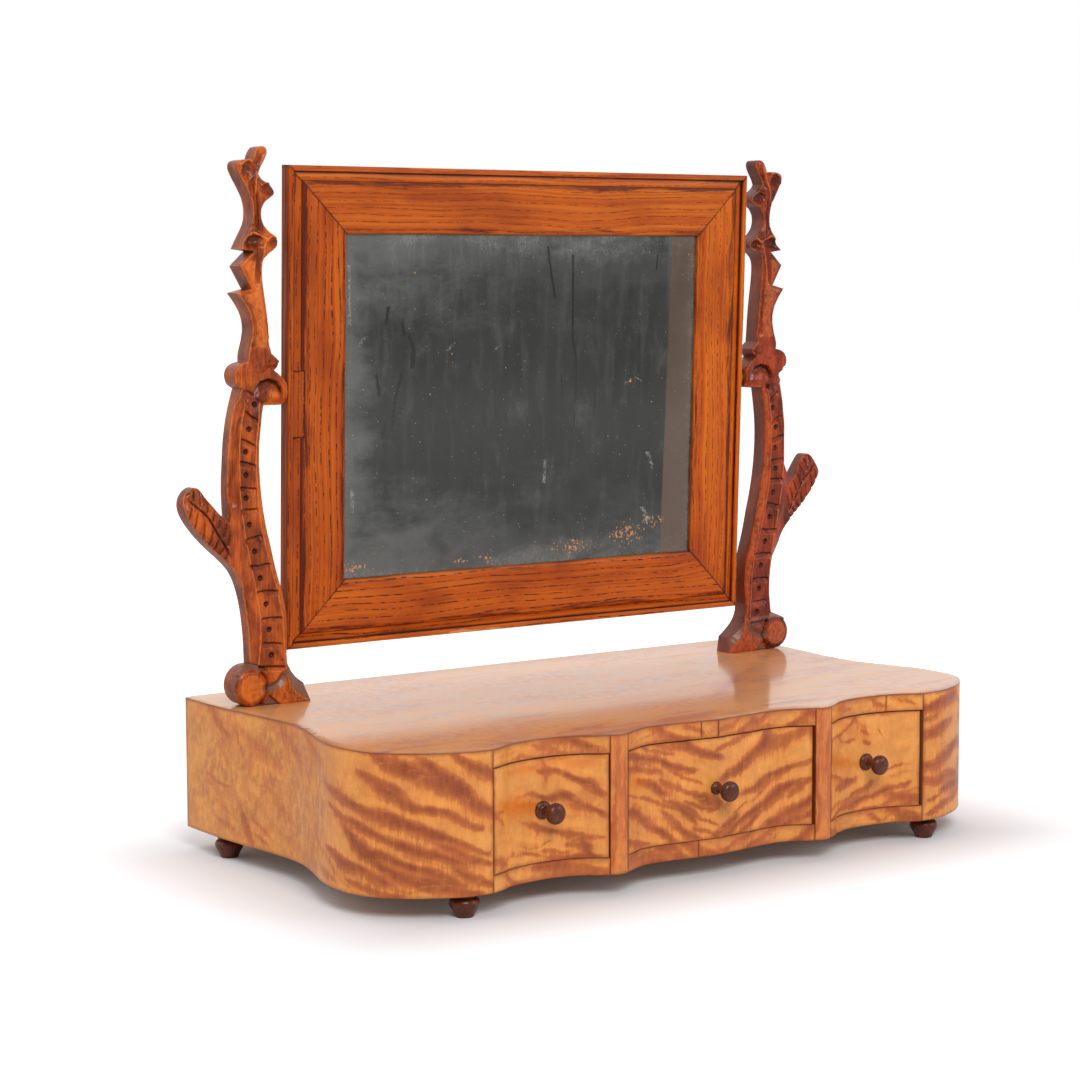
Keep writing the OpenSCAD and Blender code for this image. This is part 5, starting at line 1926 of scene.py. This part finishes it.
        # Painted highlight with rubbing along the ridge lines and the inner chamfer.
        rub_and_highlight = np.maximum(ridge, 0.72 * portion(past_inner / 1.5) * shaft)
        bare = np.zeros(len(where))
        areas = self._head(out, up, gap), self._boss(out, up), self._base(where)
        for depth, dark, rub_and_highlight_share, dull in areas:
            base, shade = base + depth, np.maximum(shade, dark)
            rub_and_highlight, bare = np.maximum(rub_and_highlight, rub_and_highlight_share), np.maximum(bare, dull)
        for raised in self.ridges:
            crest = raised.rise(where)
            base = base - raised.height * crest
            # Painted highlight on the crests of the carved ridges.
            rub_and_highlight = np.maximum(rub_and_highlight, crest * 0.9)
        base = np.maximum(base, 0)
        carved = np.zeros(len(where))
        lowered = np.interp(up, [150, 300], self.ladder_drop)
        ladder = where + np.column_stack([np.full(len(where), self.shaft_shift), lowered])
        leaf = [Cut(self.leaf_vein, 2.4, 1.8), *[Cut(line, 2.3, 1.5, 0.75) for line in self.leaf_cuts]]
        dots = [Hollow(x + self.dot_shift, z, 2.2, 2.2, 2.8, 0, 1.4, 0.0) for x, z in self.dots]
        tools = [(tool, ladder) for tool in (*[Notch(line) for line in self.notches], *dots)]
        tools += [(tool, where) for tool in (*leaf, *self.cuts, *self.hollows)]
        for tool, places in tools:
            depth, dark = tool.relief(places)
            carved, shade = np.maximum(carved, depth), np.maximum(shade, dark)
            if isinstance(tool, Cut) and tool.bare:
                bare = np.maximum(bare, tool.bare * portion(depth / tool.depth * 4))
        leaf_rim = (out > 262) & (up > 205)
        base += np.where(leaf_rim, np.clip(2.6 - gap, 0, 2.6) * 0.35, 0)
        tool_marks = 0.10 * ripples(where * [1.0, 0.6], 5.0, 3) + 0.16 * ripples(where, 16.0, 4)
        depth = np.maximum(base + carved + tool_marks * portion(gap / 2), 0)
        depth += rounding(gap, self.edge_radius)
        depth[: len(loop)] = np.maximum(depth[: len(loop)], self.edge_radius)
        # The outline's edges get a painted highlight with rubbing, except in deep cuts and bare places.
        rub_and_highlight = np.maximum(rub_and_highlight * (carved < 0.5), np.exp(-((gap / 0.9) ** 2)) * 0.85) * (bare < 0.5)
        return depth, {"cut": portion(shade), "rub_and_highlight": rub_and_highlight, "bare": bare}

    @staticmethod
    def _head(out: Rows, up: Rows, gap: Rows) -> tuple[Rows, ...]:
        """Sunk ground of the head and the chamfers on its inner side.

        Args:
            out: distance from the middle of the piece.
            up: height.
            gap: distance from the outline.

        Returns:
            Depths, painted shade, rubbed places with painted highlight, and bare places.
        """
        sunk = 1.5 * portion((up - 441) / 4)
        width = np.interp(up, [366, 410, 440], [2.8, 4.8, 5.0])
        lower = portion((up - 366) / 6) * portion((437 - up) / 5)
        slope = np.clip(width - gap, 0, None) * np.where(out < 236, 0.5, 0.1) * lower
        finger = np.clip(3.4 - gap, 0, None) * 0.75 * (up > 488) * (out < 237)
        none = np.zeros(len(out))
        # Painted highlight with rubbing on the head's inner chamfer.
        rub_and_highlight_share = 0.74 * lower * portion(gap / 3)
        return sunk + slope + finger, none, rub_and_highlight_share, none

    def _boss(self, out: Rows, up: Rows) -> tuple[Rows, ...]:
        """Undercuts round the boss: at the shaft's top, under its arch and at the end of the tongue.

        Args:
            out: distance from the middle of the piece.
            up: height.

        Returns:
            Depths, painted shade, rubbed places with painted highlight, and bare places.
        """
        depth, shade = np.zeros(len(out)), np.zeros(len(out))
        undercuts = (
            (self.shaft_top, -1, 2.6, 9.0, 0.55), (self.boss_arch, -1, 4.8, 9.0, 1.0),
            (self.tongue_end, 1, 1.9, 6.0, 0.3),
        )
        for edge, way, deep, reach, dark in undercuts:
            line = np.array(edge)
            away = way * (up - np.interp(out, line[:, 0], line[:, 1]))
            within = portion(np.minimum(out - line[0, 0], line[-1, 0] - out) + 0.5)
            within = within * (np.abs(up - self.boss_up) < self.boss_half)
            fall = portion(away / 0.9) * np.exp(-np.clip(away, 0, 99) / reach)
            fall *= portion(1.6 - away / reach)
            depth = np.maximum(depth, deep * fall * within)
            # Painted shade under each undercut.
            shade = np.maximum(shade, dark * fall * within)
        none = np.zeros(len(out))
        return depth, shade, none, none

    def _base(self, where: Rows) -> tuple[Rows, ...]:
        """The flat-faced disc, the dip beside it, the sunk vee and the foot's long chamfer.

        Args:
            where: places on the front, [out, up].

        Returns:
            Depths, painted shade, rubbed places with painted highlight, and bare places.
        """
        out, up = where[:, 0], where[:, 1]
        beyond = np.hypot(out - self.disc_middle[0], up - self.disc_middle[1]) - self.disc_radius
        in_scroll = np.hypot(out - self.scroll_middle[0], up - self.scroll_middle[1]) < self.scroll_radius
        on_face = beyond < 0
        rim = np.clip(beyond + 2.4, 0, 2.4)
        wall = (beyond >= 0) & in_scroll & ((out > 237) | (up > 139) | (up < 116))
        fall = np.where(up > 137, 0.4, 1.5)
        depth = np.where(on_face, 0.5 * rim, np.where(wall, 1.2 + fall * np.clip(beyond, 0, 2.6), 0))
        # Painted shade on the disc's chamfered rim.
        shade = np.where(on_face, 0.34 * portion(rim / 1.2), 0)
        # Painted highlight on the disc's flat face.
        rub_and_highlight_share = np.where(on_face, 0.78 * portion(-beyond - 2.4), 0)
        bare = np.where(wall, portion(beyond / 0.5), 0)
        dip = np.where((beyond >= 0) & ~wall & (out < 240) & (up < 142), portion(1 - beyond / 2.2), 0)
        # The dip beside the disc is sunk and gets painted shade.
        depth, shade = depth + 3.4 * dip, np.maximum(shade, 0.6 * dip)
        inward = np.where(out < self.vee_apex[0], self.vee_slopes[0], self.vee_slopes[1])
        below = self.vee_apex[1] - np.abs(out - self.vee_apex[0]) * inward - up
        vee = portion(below / 0.7) * (up < self.vee_apex[1]) * ~on_face
        # Painted shade in the sunk vee, darkest at its upper edge.
        vee_shade = vee * (0.3 + 0.6 * np.exp(-np.clip(below, 0, 99) / 0.9))
        depth, shade = depth + 1.9 * vee, np.maximum(shade, vee_shade)
        bare = np.maximum(bare, 0.7 * vee)
        line = np.array(self.foot_arris) + self.foot_facet_out * np.array([-1.0, 0.5])
        distance, _ = line_distance(where, line)
        edge_at = np.interp(up, line[:, 1], line[:, 0])
        above = (out < edge_at) & (up > line[0, 1]) & (up < line[-1, 1])
        fading = portion((line[-1, 1] - up) / 8)
        facet = np.where(above, np.clip(distance, 0, 9), 0) * fading
        toe = (out < 229) & (up < 141) & ~above & (below < 0)
        # Painted highlight with rubbing on the toe and its edge.
        rub_and_highlight_share = np.maximum(rub_and_highlight_share, np.where(toe, 0.66 + 0.3 * np.exp(-((distance / 0.7) ** 2)), 0))
        # The foot's long chamfer takes the bare grey-brown at full share: painted shade of a facet turned
        # away from the light.
        bare = np.maximum(bare, 1.15 * portion(facet / 0.6))
        return depth + 0.8 * facet, shade, rub_and_highlight_share, bare

    def _assemble(
        self, face: tuple[Rows, Faces, Rows, dict[str, Rows]],
        rear: tuple[Rows, Faces, Rows], loop: Rows, front: float, back: float,
    ) -> tuple[Rows, Faces, dict[str, Rows]]:
        """Joins the carved front, the plain back and the sawn edges in one closed shell.

        Args:
            face: places, triangles, depths and marks of the front.
            rear: places, triangles and edge gaps of the back.
            loop: the outline.
            front: Y of the front.
            back: Y of the back.

        Returns:
            All points, faces and marks.
        """
        where, triangles, depth, marks = face
        back_where, back_triangles, back_gap = rear
        size = len(loop)
        front_points = np.column_stack([where[:, 0], front + depth, where[:, 1]])
        back_depth = rounding(back_gap, self.edge_radius)
        back_points = np.column_stack([back_where[:, 0], back - back_depth, back_where[:, 1]])
        levels = 5
        rings = []
        for share in np.arange(1, levels) / levels:
            y = front_points[:size, 1] * (1 - share) + back_points[:size, 1] * share
            rings.append(np.column_stack([loop[:, 0], y, loop[:, 1]]))
        points = np.vstack([front_points, back_points, *rings])
        first_back = len(front_points)
        first_ring = first_back + len(back_points)
        starts = [0, *[first_ring + k * size for k in range(levels - 1)], first_back]
        faces: Faces = list(triangles)
        faces += [(a + first_back, c + first_back, b + first_back) for a, b, c in back_triangles]
        for here, there in zip(starts[:-1], starts[1:]):
            faces += ring_faces(here, there, size)
        rest = len(points) - len(where)
        side = np.ones(rest)
        side[: len(back_points)] = 0.6
        values = {name: np.concatenate([mark, np.zeros(rest)]) for name, mark in marks.items()}
        values["side"] = np.concatenate([np.zeros(len(where)), side])
        return points, faces, values


# ---- mirror ----


@dataclass
class MirrorFrame:
    """The tilting frame: four mitred moulded members and the glass."""

    pivot: Rows
    lean: float = 2.0
    pivot_up: float = 12.7
    width: float = 420.0
    height: float = 350.0
    depth: float = 12.0
    member: float = 48.5
    rebate: float = 6.0
    glass_in: float = 4.2
    glass_thickness: float = 2.5
    glass_gap: float = 0.5
    glass_bevel: float = 0.4
    lip: float = 4.0
    cove_depth: float = 2.8
    moulding: float = 10.8
    flat_in: float = 0.6
    sight: float = 3.0
    sight_in: float = 2.0
    step: float = 2.5
    face_limit: float = 1.3
    lip_length: float = 6.5
    cove_reach: float = 1.7
    rub_reach: float = 1.6
    sight_reach: float = 3.0
    stain_reach: tuple[float, float] = (3.5, 5.5)
    mend_depth: float = 0.35
    # Members whose lip gets a pale line along its outer edge: wear and a painted highlight.
    worn_and_highlit_members: tuple[str, ...] = ("frame_rail_bottom", "stile_right")

    def to_world(self, local: Rows) -> Rows:
        """Places drawn about the frame's middle, put where the frame hangs.

        Args:
            local: rows of X, Y and Z about the middle.

        Returns:
            Rows in the part's frame.
        """
        y, z = turn_pair(local[:, 1], local[:, 2] - self.pivot_up, self.lean)
        return np.column_stack([local[:, 0], y, z]) + self.pivot

    def section(self) -> Rows:
        """Closed section of a member: [in from the outer edge, behind the lip's front]."""
        lip, cove, moulding = self.lip, self.cove_depth, self.moulding
        nose = [(0.0, 1.2), (0.15, 0.6), (0.6, 0.15), (1.3, 0.0)]
        nose += [(lip - 0.9, 0.0), (lip - 0.25, 0.2), (lip, 0.8), (lip, cove - 0.6), (lip + 0.1, cove)]
        angles = np.radians(np.arange(4, 91, 8.0))
        wide, deep = moulding - lip, cove - self.flat_in
        curve = [(lip + wide * math.sin(a), self.flat_in + deep * math.cos(a)) for a in angles]
        start, end = moulding + 0.6, self.member - self.sight
        flat = [(a, self.flat_in) for a in np.linspace(start, end - 0.6, 16)]
        sight = [
            (end, self.flat_in + 0.1), (end + 0.4 * self.sight, self.flat_in + 0.5),
            (self.member - 0.4, self.sight_in - 0.2), (self.member, self.sight_in + 0.3),
            (self.member, self.glass_in),
        ]
        behind = [
            (self.member - self.rebate, self.glass_in), (self.member - self.rebate, self.depth - 0.4),
            (self.member - self.rebate - 0.4, self.depth), (0.8, self.depth), (0.0, self.depth - 0.8),
        ]
        return np.array([*nose, *curve, *flat, *sight, *behind])

    def build_member(self, node: str, turn: int, finish: FrameAsh, seed: int) -> None:
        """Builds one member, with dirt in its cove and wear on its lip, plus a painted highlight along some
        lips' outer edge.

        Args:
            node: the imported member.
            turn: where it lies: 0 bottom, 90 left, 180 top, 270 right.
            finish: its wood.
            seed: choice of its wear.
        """
        upright = turn % 180 == 90
        length, half = (self.height, self.width / 2) if upright else (self.width, self.height / 2)
        section = self.section()
        profile = running_length(section)
        count = math.ceil(length / self.step)
        inset, behind = section[:, 0], section[:, 1]
        on_face, in_front = behind < self.face_limit, behind < self.glass_in

        def spread(values: Rows) -> Rows:
            """Numbers of the section, repeated at every step along the member."""
            return np.tile(values, count + 1)

        reach = length / 2 - inset
        along = np.linspace(-1, 1, count + 1)[:, None] * reach[None, :]
        where = np.column_stack([along.ravel(), spread(profile)])
        wobble = 0.12 * ripples(where, 9.0, seed) + 0.10 * ripples(where, 30.0, seed + 1)
        lip_like = spread((profile < self.lip_length) & on_face)
        chips = portion(ripples(where * [0.3, 1.6], 14.0, seed + 2) - 0.6) * lip_like * 1.2
        back_by = spread(behind)
        if finish.mend is not None:
            left, right, low, high = finish.mend
            filled = ((where > [left, low]) & (where < [right, high])).all(axis=1)
            back_by = np.where(filled, np.minimum(back_by, self.flat_in + self.mend_depth), back_by)
        back_by += np.where(spread(in_front), np.abs(wobble) + chips, 0)
        flat = np.column_stack([where[:, 0], back_by - self.depth / 2, spread(inset) - half])
        x, z = turn_pair(flat[:, 0], flat[:, 2], -turn)
        points = self.to_world(np.column_stack([x, flat[:, 1], z]))
        size = len(section)
        faces: Faces = []
        for i in range(count):
            faces += ring_faces(i * size, (i + 1) * size, size)
        faces.append(tuple(range(size)))
        faces.append(tuple(count * size + k for k in reversed(range(size))))
        in_cove = np.exp(-(((inset - self.lip - 0.2) / self.cove_reach) ** 2)) * (behind > 1.0) * in_front
        outside = (inset < 0.05) * 0.55
        near_mitre = np.exp(-np.abs(np.abs(along) - reach[None, :]) / 0.6).ravel()
        sight_dirt = (inset > self.member - 1.0) * (behind < self.glass_in + 0.1) * 0.6
        dirt = np.maximum.reduce([spread(in_cove), spread(outside), near_mitre * 0.85, spread(sight_dirt)])
        edge_like = spread(np.exp(-(((inset - self.lip / 2) / self.rub_reach) ** 2)) * (behind < 0.5))
        rubbed = 1.0 if node == "frame_rail_bottom" else 0.45
        wear_and_highlight = portion(edge_like * 0.4 + chips * 1.4) * rubbed
        # A pale line along the lip's outer edge: wear, and a painted highlight of the rounded edge.
        if node in self.worn_and_highlit_members:
            wear_and_highlight = np.maximum(wear_and_highlight, 0.8 * spread((inset < 1.0) * on_face))
        from_moulding = np.clip(inset - self.moulding, 0, 99) / self.stain_reach[upright]
        from_sight = np.clip(self.member - self.sight - inset, 0, 99) / self.sight_reach
        near_moulding = np.where((inset > self.lip) & on_face, np.exp(-from_moulding), 0)
        near_sight = np.where(on_face, np.exp(-from_sight) * 0.5, 0)
        marks = {"dirt": dirt, "wear_and_highlight": wear_and_highlight, "stain": spread(np.maximum(near_moulding, near_sight))}
        piece = add_mesh(f"{node}_moulding", points, faces, finish.material(), where, marks, 32)
        place(turn_outward(piece), "mirror", finish.slot, node)

    def build_glass(self) -> None:
        """Builds the glass with a finish drawn in its own plane."""
        seen_w, seen_h = self.width / 2 - self.member, self.height / 2 - self.member
        half_w, half_h = (seen + self.rebate - self.glass_gap for seen in (seen_w, seen_h))
        finish = OldMirror(seen_w, seen_h)
        bevel = self.glass_bevel
        xs, zs = (
            np.array([-half, bevel - half, *np.linspace(8 - half, half - 8, steps), half - bevel, half])
            for half, steps in ((half_w, 60), (half_h, 48))
        )
        grid_x, grid_z = np.meshgrid(xs, zs, indexing="ij")
        gap = np.minimum(half_w - np.abs(grid_x), half_h - np.abs(grid_z))
        fall = np.clip(bevel - gap, 0, bevel)
        sheets = []
        for y, sign in ((self.glass_in, 1), (self.glass_in + self.glass_thickness, -1)):
            local_y = y - self.depth / 2 + sign * fall
            sheets.append(np.column_stack([grid_x.ravel(), local_y.ravel(), grid_z.ravel()]))
        local = np.vstack(sheets)
        columns, rows = len(xs), len(zs)
        total = columns * rows
        faces: Faces = []
        for a in (i * rows + k for i in range(columns - 1) for k in range(rows - 1)):
            b = a + rows
            faces += [(a, b, b + 1, a + 1), (total + a + 1, total + b + 1, total + b, total + a)]
        border = [i * rows for i in range(columns)]
        border += [(columns - 1) * rows + k for k in range(1, rows)]
        border += [i * rows + rows - 1 for i in reversed(range(columns - 1))]
        border += list(reversed(range(1, rows - 1)))
        faces += [(b, a, total + a, total + b) for a, b in zip(border, border[1:] + border[:1])]
        grain = np.column_stack([local[:, 0], local[:, 2]])
        piece = add_mesh("mirror_glass_pane", self.to_world(local), faces, finish.material(), grain)
        place(turn_outward(piece), "mirror", finish.slot, "mirror_glass")


# ---- plain boards and metal ----


def softened_copy(
    node: str, body: str, finish: LongWood | OldMetal, radius: float, material: Material
) -> None:
    """Stands a copy with softened edges in the place of a packed board or pin.

    Args:
        node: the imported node.
        body: the body that it rides on.
        finish: its finish, for its slot.
        radius: width of the softened edges.
        material: the material to use.
    """
    shape = node_shape(node)
    bmesh.ops.dissolve_limit(
        shape, angle_limit=math.radians(1.0), use_dissolve_boundaries=False, verts=shape.verts,
        edges=shape.edges,
    )
    crisp = [e for e in shape.edges if len(e.link_faces) == 2 and e.calc_face_angle(0.0) > math.radians(35)]
    bmesh.ops.bevel(
        shape, geom=crisp, offset=radius * MM, offset_type="OFFSET", segments=2, profile=0.5,
        affect="EDGES", clamp_overlap=True,
    )
    mesh = bpy.data.meshes.new(f"{node}_piece")
    shape.to_mesh(mesh)
    shape.free()
    place(show_mesh(mesh, material, 50), body, finish.slot, node)


@dataclass
class PlainParts:
    """The pieces behind the veneers and the small metal parts."""

    pine_light: Colour = srgb(206, 154, 98)
    pine_dark: Colour = srgb(160, 106, 60)
    pine_pore: Colour = srgb(122, 76, 40)
    edge: float = 0.4

    def pine(self, along: Along) -> LongWood:
        """Pine with its grain along an axis."""
        return LongWood(
            name=f"pine_{along.name.lower()}", slot="pine", light=self.pine_light, dark=self.pine_dark,
            pore=self.pine_pore, along=along, shift=4.0 * along.value, roughness=(0.6, 0.75), relief=0.06,
            # Painted shade darkens the pine towards the front, in the gaps round the drawers.
            front_shade_span=(-128.0, -116.0),
        )

    def build(self) -> None:
        """Builds every plain part in the place of its node."""
        finishes = {along: self.pine(along) for along in Along}
        materials = {along: finish.material() for along, finish in finishes.items()}
        boards = {
            "case": {
                Along.X: ["case_bottom", "case_top", "case_back"],
                Along.Y: ["guide_left", "guide_right", "partition_left", "partition_right", "drawer_stops"],
                Along.Z: ["side_left", "side_right"],
            },
            "mirror": {Along.X: ["backboard"]},
        }
        sides = {"left": ("outer", "inner"), "centre": ("left", "right"), "right": ("inner", "outer")}
        for drawer, ends in sides.items():
            boards[f"drawer_{drawer}"] = {
                Along.X: [f"{drawer}_drawer_front", f"{drawer}_drawer_back", f"{drawer}_drawer_bottom"],
                Along.Y: [f"{drawer}_drawer_side_{end}" for end in ends],
            }
        for body, rows in boards.items():
            for along, nodes in rows.items():
                for node in nodes:
                    softened_copy(node, body, finishes[along], self.edge, materials[along])
        steel = OldMetal("steel", "steel", srgb(150, 148, 144), srgb(88, 76, 66))
        brass = OldMetal("brass", "brass", srgb(196, 158, 84), srgb(120, 88, 44))
        steel_material, brass_material = steel.material(), brass.material()
        softened_copy("glazing_brads", "mirror", steel, 0.15, steel_material)
        for side in Side:
            softened_copy(f"pivot_pin_{side.word}", "case", steel, 0.3, steel_material)
            softened_copy(f"pivot_washer_{side.word}", "case", brass, 0.2, brass_material)


# ---- drawers ----


@dataclass
class DrawerFace:
    """The veneered face of one drawer and its knob."""

    outline: CaseOutline
    word: str
    flames: Sequence[Flame]
    amber: Sequence[Flame]
    faint: Sequence[Flame]
    knob_foot: float
    seed: int

    def build(self, material: Material, birch: FlameBirch, black: Ebonised) -> None:
        """Builds the veneer and the knob.

        Args:
            material: the veneer's material.
            birch: the veneer's finish.
            black: the knob's finish.
        """
        node = f"{self.word}_drawer_veneer"
        low, high = box(node)
        sheet = VeneerSheet.over(
            self.outline, low, high, 0.0, edge_radius=0.6, step=0.9,
            flames=[*self.flames, *self.faint], amber=self.amber,
            blush=scattered_flames((low[0], high[0], 28, 99), 0.3, 12, self.seed, 0.5, 24, 12),
            seed=self.seed, dirt=(0.9, 0.9, 0.9, 0.8),
        )
        body = f"drawer_{self.word}"
        place(sheet.build(f"{self.word}_drawer_sheet", material), body, birch.slot, node)
        TurnedKnob(f"{self.word}_drawer_knob", body, black, self.knob_foot).build()


# ---- studio ----


@dataclass
class Studio:
    """Floor, lamps, surroundings and the camera."""

    camera_place: Triple = (-1111.6, -1521.75, 425.4)
    yaw: float = -0.607
    pitch: float = 0.105
    roll: float = -0.003
    lens: float = 85.3
    sensor: float = 36.0
    surround: float = 1.0
    room_side: float = 0.16
    room_depth: tuple[float, float] = (-0.55, 0.25)
    floor_colour: Colour = (0.78, 0.77, 0.78, 1.0)
    part_half: Triple = (0.26, 0.14, 0.0)
    floor_size: float = 30.0
    # Span and strength of a camera-only floor glow that is missing next to the part: a painted shadow.
    shadow_glow_span: tuple[float, float] = (-0.03, 0.2)
    shadow_glow_strength: float = 0.6
    lamp_target: Triple = (0.0, 0.0, 0.2)

    def build(self) -> None:
        """Sets the whole studio up."""
        self._camera()
        self._world()
        self._floor()
        self._lamp("key_lamp", (-1.0, -2.3, 2.0), self.lamp_target, (1.3, 1.1), 58.0)
        self._lamp("fill_lamp", (1.9, -2.2, 1.2), self.lamp_target, (1.6, 1.2), 20.0)
        bpy.context.scene.view_settings.view_transform = "Standard"

    def _camera(self) -> None:
        """Places the camera at the photograph's viewpoint."""
        data = bpy.data.cameras.new("camera")
        data.lens = self.lens
        data.sensor_width = self.sensor
        data.clip_end = 100.0
        camera = show("camera", data)
        level = math.cos(self.pitch)
        forward = Vector((-math.sin(self.yaw) * level, math.cos(self.yaw) * level, -math.sin(self.pitch)))
        turn = forward.to_track_quat("-Z", "Y").to_matrix().to_4x4()
        place_m = Vector(self.camera_place) * MM
        camera.matrix_world = Matrix.Translation(place_m) @ turn @ Matrix.Rotation(self.roll, 4, "Z")
        bpy.context.scene.camera = camera

    def _world(self) -> None:
        """White surroundings, dimmer on the side that the room is on."""
        world = bpy.data.worlds.new("surroundings")
        s = ShaderSheet(world)
        depth = s.parts(s.add("TexCoord").outputs["Generated"])[1]
        level = s.fade(depth, *self.room_depth, self.room_side, self.surround)
        white = s.add("Mix")
        s.feed(white.inputs[0], s.add("LightPath").outputs["Is Camera Ray"])
        s.feed(white.inputs[2], level)
        s.feed(white.inputs[3], 1.0)
        background = s.add("Background")
        s.feed(background.inputs["Color"], WHITE)
        s.feed(background.inputs["Strength"], white.outputs[0])
        s.feed(s.add("OutputWorld").inputs[0], background.outputs[0])
        bpy.context.scene.world = world

    def _floor(self) -> None:
        """A plain pale floor that keeps the shadow and fades into the white surroundings, through a
        camera-only glow that is missing next to the part as a painted shadow.
        """
        half = self.floor_size / MM / 2
        points = np.array([[-half, -half, 0], [half, -half, 0], [half, half, 0], [-half, half, 0]], float)
        sheet = material_sheet("pale_floor")
        diffuse = sheet.add("BsdfDiffuse")
        sheet.feed(diffuse.inputs[0], self.floor_colour)
        glow = sheet.add("Emission")
        sheet.feed(glow.inputs[0], WHITE)
        where = sheet.add("TexCoord").outputs["Object"]
        positive = sheet.add("VectorMath", operation="ABSOLUTE")
        sheet.feed(positive.inputs[0], where)
        outside = sheet.vector("SUBTRACT", positive.outputs[0], self.part_half)
        distance = sheet.add("VectorMath", operation="LENGTH")
        sheet.feed(distance.inputs[0], sheet.vector("MAXIMUM", outside, (0.0, 0.0, 0.0)))
        # Painted shadow: the glow that only the camera sees is missing near the part and grows away from
        # it.
        shadow_glow = sheet.fade(distance.outputs["Value"], *self.shadow_glow_span, 0.0, self.shadow_glow_strength)
        seen = sheet.times(sheet.add("LightPath").outputs["Is Camera Ray"], shadow_glow)
        sheet.feed(glow.inputs[1], seen)
        joined = sheet.add("AddShader")
        sheet.feed(joined.inputs[0], diffuse.outputs[0])
        sheet.feed(joined.inputs[1], glow.outputs[0])
        sheet.feed(sheet.add("OutputMaterial").inputs[0], joined.outputs[0])
        floor = add_mesh("floor", points, [(0, 1, 2, 3)], sheet.owner)

    @staticmethod
    def _lamp(name: str, where: Triple, target: Triple, size: tuple[float, float], power: float) -> None:
        """A soft rectangular lamp.

        Args:
            name: the lamp's name.
            where: its place in metres.
            target: the point that it faces.
            size: its width and height in metres.
            power: its power in watts.
        """
        data = bpy.data.lights.new(name, "AREA")
        data.shape = "RECTANGLE"
        data.size, data.size_y = size
        data.energy = power
        lamp = show(name, data)
        way = Vector(target) - Vector(where)
        lamp.matrix_world = Matrix.Translation(where) @ way.to_track_quat("-Z", "Y").to_matrix().to_4x4()


def main() -> None:
    """Builds the sub-assemblies in order."""
    logging.basicConfig(level=logging.INFO, format="%(name)s: %(message)s")
    Studio().build()
    outline = CaseOutline.from_node("top_veneer")
    birch = FlameBirch()
    black = Ebonised()
    plain = FlameBirch(
        name="pilaster_birch", slot="pilaster_birch", light=srgb(220, 136, 66), honey=srgb(206, 118, 54),
        band=srgb(188, 98, 46), dark=srgb(160, 76, 36), shift=41.0,
    )
    CaseShell(outline, birch, plain).build()
    face = FlameBirch(name="flame_birch_drawers", shift=9.0)
    face_material = face.material()
    left_faint = scattered_flames((-190, -102, 28, 98), -0.12, 22, 81, 0.32, 20, 3.6)
    centre_faint = scattered_flames((-84, -6, 28, 98), -0.4, 24, 82, 0.2, 20, 3)
    centre_faint += scattered_flames((6, 80, 28, 98), 0.5, 16, 83, 0.18, 22, 3.6)
    right_faint = scattered_flames((102, 188, 28, 60), 0.15, 14, 84, 0.34, 20, 3.2)
    # Amber patch at the centre drawer's upper left: the wood's own amber colour, and painted shade.
    centre_amber_and_shade = (Flame(-88, 79, -68, 74, 8, 0.6),)
    faces = (
        DrawerFace(outline, "left", LEFT_FLAMES, LEFT_AMBER_AND_SHADE, left_faint, 6.3, 71),
        DrawerFace(outline, "centre", CENTRE_FLAMES, centre_amber_and_shade, centre_faint, 4.7, 73),
        DrawerFace(outline, "right", RIGHT_FLAMES, RIGHT_AMBER_AND_SHADE, right_faint, 6.3, 79),
    )
    for drawer_face in faces:
        drawer_face.build(face_material, face, black)
    for corner in ("front", "back"):
        for side in Side:
            TurnedFoot(f"foot_{corner}_{side.word}", black).build()
    stain = CarvedBirch("stained_birch_left", shift=-5.0)
    CarvedPost(Side.LEFT, stain).build()
    stain = CarvedBirch(
        "stained_birch_right", light=srgb(172, 67, 21), mid=srgb(134, 46, 15), dark=srgb(80, 28, 11),
        rubbed=srgb(204, 104, 50), shift=5.0, side_share=0.62,
    )
    CarvedPost(Side.RIGHT, stain, ladder_drop=(5.6, 1.5), dot_shift=-2.6, foot_facet_out=3.8).build()
    tilt = next(joint for joint in frame["joints"] if joint["name"] == "mirror_tilt")
    mirror = MirrorFrame(pivot=np.array(tilt["pos_m"]) / MM)
    let_in = (-28.0, 20.0, 6.4, 17.2)
    members = (
        ("frame_rail_bottom", 0, 0.8, (0.88, 0.8, 1.0), 0.1, None),
        ("stile_left", 90, 0.8, (0.77, 0.64, 0.47), 0.6, let_in),
        ("frame_rail_top", 180, 0.5, (0.82, 0.75, 0.82), 0.3, None),
        ("stile_right", 270, 0.6, (0.93, 0.85, 0.66), 0.3, None),
    )
    for number, (node, turn, rows, tint, soiled, mend) in enumerate(members):
        name, shift = f"frame_ash_{number}", 17.0 * number
        ash = FrameAsh(name, shift=shift, row_strength=rows, tint=tint, soiled=soiled, mend=mend)
        mirror.build_member(node, turn, ash, 100 + 10 * number)
    mirror.build_glass()
    PlainParts().build()


if __name__ == "__main__":
    main()
